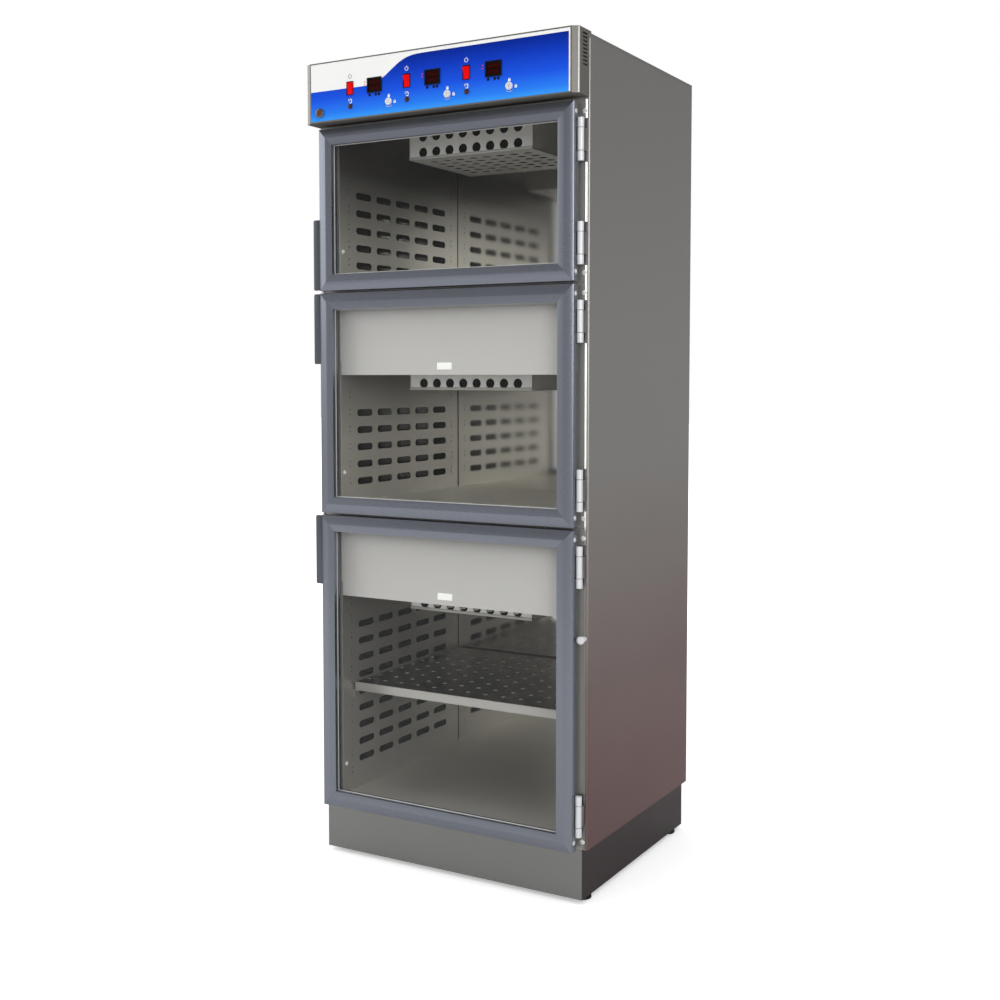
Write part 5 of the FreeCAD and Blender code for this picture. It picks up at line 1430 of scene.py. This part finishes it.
    def lock(self, draft: Draft, place: Flat, radius: float, plug: float, finish: int) -> None:
        """Add the fixed barrel of a lock.

        Args:
            draft: Mesh that takes it.
            place: Its axis.
            radius: Radius of the head.
            plug: Radius of the plug.
            finish: Index of the finish.
        """
        bore = plug + 0.06
        head = [(radius, 0.0), (radius, 2.6), (radius - 0.5, 3.5), (radius - 1.4, 4.0), (plug + 0.5, 4.0)]
        self.pressed(draft, place, [(plug + 1.6, -20.0), (plug + 1.6, 0.0), *head, (bore, 3.6),
                                    (bore, -18.4), (0, -18.4)], finish)

    def plug(self, name: str, place: Flat, radius: float, finish: Finish, slot: str) -> None:
        """Add the turning plug of a lock, with its keyhole.

        Args:
            name: Node of the plug, which is also its body.
            place: Its axis.
            radius: Radius of the plug.
            finish: Finish of the plug.
            slot: Material slot.
        """
        draft = Draft([finish, Finish.DARK_GAP])
        self.pressed(draft, place, [(0, -18.0), (radius, -18.0), (radius, 3.1), (radius - 0.4, 3.4)])
        keyhole = rounded(place, (1.3, 5.4), 0.6)
        draft.sheet(front_plane(self.front - 3.4), circle(place, radius - 0.4, 40), [keyhole], 2.0)
        # Dark plate behind the keyhole: painted shade.
        draft.plate(front_plane(self.front - 1.5), keyhole, 0.2, 1)
        draft.finish_as(f"{name}_plug", name, name, slot)

    def locks(self) -> None:
        """Add the key switches and the panel lock."""
        draft = Draft([Finish.SATIN, Finish.NICKEL])
        for group, chamber in enumerate(reversed(CHAMBERS)):
            place = self.spot(self.key, group)
            self.lock(draft, place, 9.0, 6.0, 0)
            self.plug(f"key_switch_{chamber}", place, 6.0, Finish.SATIN, "chrome")
        self.lock(draft, self.spot(self.panel), 11.5, 8.0, 1)
        self.plug("panel_lock", self.spot(self.panel), 8.0, Finish.BRONZE, "brass")
        draft.finish_as("lock_bodies", "cabinet", "lock_barrels", "chrome")

    def reset_buttons(self) -> None:
        """Add the reset buttons and their collars."""
        collars = Draft([Finish.COPPER])
        collar = [(5.6, -16.0), (5.6, 0.0), (6.5, 0.0), (6.5, 1.2), (6.0, 1.8), (5.2, 2.0), (4.3, 2.0),
                  (4.06, 1.7), (4.06, -14.4), (0, -14.4)]
        cap = [(0, -8.1), (4.0, -8.1), (4.0, 3.2), (3.5, 3.7), (2.4, 3.9), (0, 3.9)]
        for group, chamber in enumerate(reversed(CHAMBERS)):
            place, name = self.spot(self.reset, group), f"reset_button_{chamber}"
            self.pressed(collars, place, collar, 0, 32)
            draft = Draft([Finish.COPPER])
            self.pressed(draft, place, cap, 0, 32)
            draft.finish_as(f"reset_cap_{chamber}", name, name, "copper")
        collars.finish_as("reset_rings", "cabinet", "reset_collars", "copper")


@dataclass
class Inlet:
    """Mains inlet on the back.

    Attributes:
        x: Its middle.
        z: Its height.
        back: Plane of the cabinet's back.
        plate: Middle and size of the plate round it, seen from behind.
    """

    x: float = -250.0
    z: float = 1925.0
    back: float = 610.0
    plate: tuple[Flat, Flat] = ((279.5, 1931.25), (200.0, 119.5))

    def build(self) -> None:
        """Add the inlet with its flange, socket and pins, and its plate."""
        draft = Draft([Finish.BLACK, Finish.CHROME, Finish.BACK])
        x, z, back = self.x, self.z, self.back
        draft.sheet(Placing((0.0, back + 1.5, 0.0), LEFT), rounded((-x, z), (50.0, 28.0), 3.0),
                    [rounded((-x, z), (30.0, 18.0), 3.0)])
        for side in (-1, 1):
            draft.block((x + side * 15.0, x + side * 22.0), (back - 30.0, back), around(z, 11.0))
            draft.block(around(x, 15.0), (back - 30.0, back), (z + side * 9.0, z + side * 11.0))
        draft.block(around(x, 15.0), (back - 30.0, back - 20.0), around(z, 9.0))
        for offset, rise in ((-7.0, -2.0), (0.0, 2.0), (7.0, -2.0)):
            draft.block(around(x + offset, 1.0), (back - 20.0, back - 6.0), around(z + rise, 2.0), 1, 0.3)
        draft.sheet(Placing((0.0, back, 0.0), LEFT), box(*self.plate),
                    [rounded((-x, z), (45.0, 23.0), 1.0)], 1.5, 2)
        draft.finish_as("mains_inlet", "cabinet", "power_inlet", "black_plastic")


@dataclass
class Studio:
    """Camera, floor, world and lamps.

    Attributes:
        camera_place: Place of the camera in metres.
        heading: Turn of the camera to the left, in degrees.
        dip: Tilt of the camera downwards, in degrees.
        lens: Focal length in millimetres.
        rise: Vertical shift of the lens.
        floor_half: Half of the floor's width in metres.
        floor_glow: Brightness added to the floor near the cabinet, as the camera sees it.
        bounce: Share of light that the floor throws back on the cabinet.
        floor_mirrored: How much metal and glass see that darker floor too.
        mirrored: Brightness of the surroundings in metal and glass, overhead and at eye level.
        beside: Brightness of the wide pale wall on the left in metal and glass.
        behind: Brightness of the surroundings behind the cabinet in metal and glass.
        ambient: Brightness of the surroundings as they light the cabinet.
    """

    camera_place: Point = (1.6914, -2.9579, 1.2288)
    heading: float = 29.92
    dip: float = 3.41
    lens: float = 47.11
    rise: float = -0.0438
    floor_half: float = 30.0
    floor_glow: float = 0.42
    bounce: float = 0.45
    floor_mirrored: float = 0.66
    mirrored: Flat = (0.18, 0.5)
    beside: float = 1.5
    behind: float = 0.42
    ambient: float = 0.64

    def build(self) -> None:
        """Set up the whole studio."""
        bpy.context.scene.view_settings.view_transform = "Standard"
        self.camera()
        self.floor()
        self.world()
        self.lamp("soft_key", (-4.2, -2.2, 2.9), 3.4, 105.0, False)
        self.lamp("soft_fill", (3.6, -3.2, 2.2), 2.2, 55.0, True)
        self.lamp("soft_top", (0.4, -0.4, 4.8), 3.0, 70.0, False)

    def aim(self, thing: bpy.types.Object, place: Point, ahead: Vector) -> None:
        """Put a camera or lamp into the scene, looking ahead from a place."""
        thing.matrix_world = Matrix.Translation(place) @ ahead.to_track_quat("-Z", "Y").to_matrix().to_4x4()
        bpy.context.scene.collection.objects.link(thing)

    def camera(self) -> None:
        """Add the camera."""
        data = bpy.data.cameras.new("studio_camera")
        data.sensor_width, data.lens, data.shift_y = 36.0, self.lens, self.rise
        data.clip_end = 2 * self.floor_half
        camera = bpy.data.objects.new("studio_camera", data)
        yaw, dip = math.radians(self.heading), math.radians(self.dip)
        ahead = Vector((-math.sin(yaw) * math.cos(dip), math.cos(yaw) * math.cos(dip), -math.sin(dip)))
        self.aim(camera, self.camera_place, ahead)
        bpy.context.scene.camera = camera

    def lamp(self, name: str, place: Point, size: float, watts: float, mirrored: bool) -> None:
        """Add a soft square lamp that faces the middle of the cabinet.

        Args:
            name: Name of the lamp.
            place: Its place in metres.
            size: Its side in metres.
            watts: Its power.
            mirrored: Whether metal and glass show it.
        """
        data = bpy.data.lights.new(name, "AREA")
        data.size, data.energy = size, watts
        lamp = bpy.data.objects.new(name, data)
        lamp.visible_glossy = mirrored
        self.aim(lamp, place, Vector((0.0, 0.0, 1.0)) - Vector(place))

    def floor(self) -> None:
        """Add the pale floor, which keeps the cabinet's shadow."""
        recipe = Recipe(bpy.data.materials.new("studio_floor"))
        path = recipe.add("LightPath")
        pale = recipe.blend(recipe.noise((0.6, 0.6, 0.6)), scaled(WHITE, 0.86), scaled(WHITE, 0.9))
        darker = recipe.combine("MULTIPLY_ADD", path["Is Glossy Ray"], self.floor_mirrored,
                                path["Is Diffuse Ray"])
        distance = recipe.add("VectorMath", {0: recipe.place()}, operation="LENGTH")["Value"]
        near = recipe.remap(distance, (1.0, 3.2), (self.floor_glow, 1.0), smooth=True)
        recipe.shade({"Base Color": recipe.blend(darker, pale, scaled(WHITE, self.bounce)), "Roughness": 0.9,
                      "Specular IOR Level": 0.1, "Emission Color": WHITE,
                      "Emission Strength": recipe.combine("MULTIPLY", recipe.seen(), near)})
        data = bpy.data.meshes.new("studio_floor")
        corners = [(x, y, 0.0) for x, y in box((0.0, 0.0), (2 * self.floor_half, 2 * self.floor_half))]
        data.from_pydata(corners, [], [(0, 1, 2, 3)])
        data.materials.append(recipe.owner)
        floor = bpy.data.objects.new("studio_floor", data)
        bpy.context.scene.collection.objects.link(floor)

    def world(self) -> None:
        """Set the world: white for the camera, greyer in metal and glass, plain level on the cabinet."""
        recipe = Recipe(bpy.data.worlds.new("studio_world"))
        bpy.context.scene.world = recipe.owner
        way = recipe.add("SeparateXYZ", {0: recipe.add("TexCoord")["Generated"]})
        level = recipe.remap(way["Z"], (-0.12, 0.42), self.mirrored[::-1], smooth=True)
        back = recipe.remap(way["Z"], (0.0, 0.3), (self.behind, 0.6 * self.behind))
        level = recipe.sway(recipe.remap(way["Y"], (-0.3, 0.4), smooth=True), level, back)
        wall = recipe.remap(way["Z"], (-0.02, 0.1), (0.3 * self.beside, self.beside))
        level = recipe.sway(recipe.remap(way["X"], (-0.66, -0.82), smooth=True), level, wall)
        level = recipe.sway(recipe.add("LightPath")["Is Glossy Ray"], self.ambient, level)
        recipe.feed("Background", {"Color": WHITE, "Strength": recipe.sway(recipe.seen(), level, 1.0)})


def build_chambers() -> None:
    """Build the inside of all three chambers."""
    panels, probes = Draft([Finish.DUCT]), Draft([Finish.PROBE])
    boxes = Draft([Finish.BOX, Finish.LIP, Finish.DARK_GAP])
    for name in CHAMBERS:
        Chamber(name).build(panels, probes)
        IntakeBox(name).build(boxes)
    panels.finish_as("slotted_ducts", "cabinet", "duct_panels", "liner_steel")
    boxes.finish_as("perforated_intakes", "cabinet", "intake_boxes", "liner_steel")
    probes.finish_as("probe_tips", "cabinet", "temperature_probes", "white_plastic")


def build_doors() -> None:
    """Build the three doors and the hinge leaves on the cabinet's frame."""
    leaves = Draft([Finish.HINGE, Finish.LEAF])
    for door in map(Door, CHAMBERS):
        door.build()
        door.frame_leaves(leaves)
    leaves.finish_as("frame_leaves", "cabinet", "frame_hinges", "bright_steel")


def main() -> None:
    """Build the whole cabinet and its studio."""
    logging.basicConfig(level=logging.INFO, format="%(name)s: %(message)s")
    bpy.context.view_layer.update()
    Casing().build()
    build_chambers()
    Shelf().build()
    BlowerSpace().build()
    build_doors()
    Header().build()
    Inlet().build()
    Studio().build()
    bpy.context.view_layer.update()


if __name__ == "__main__":
    main()
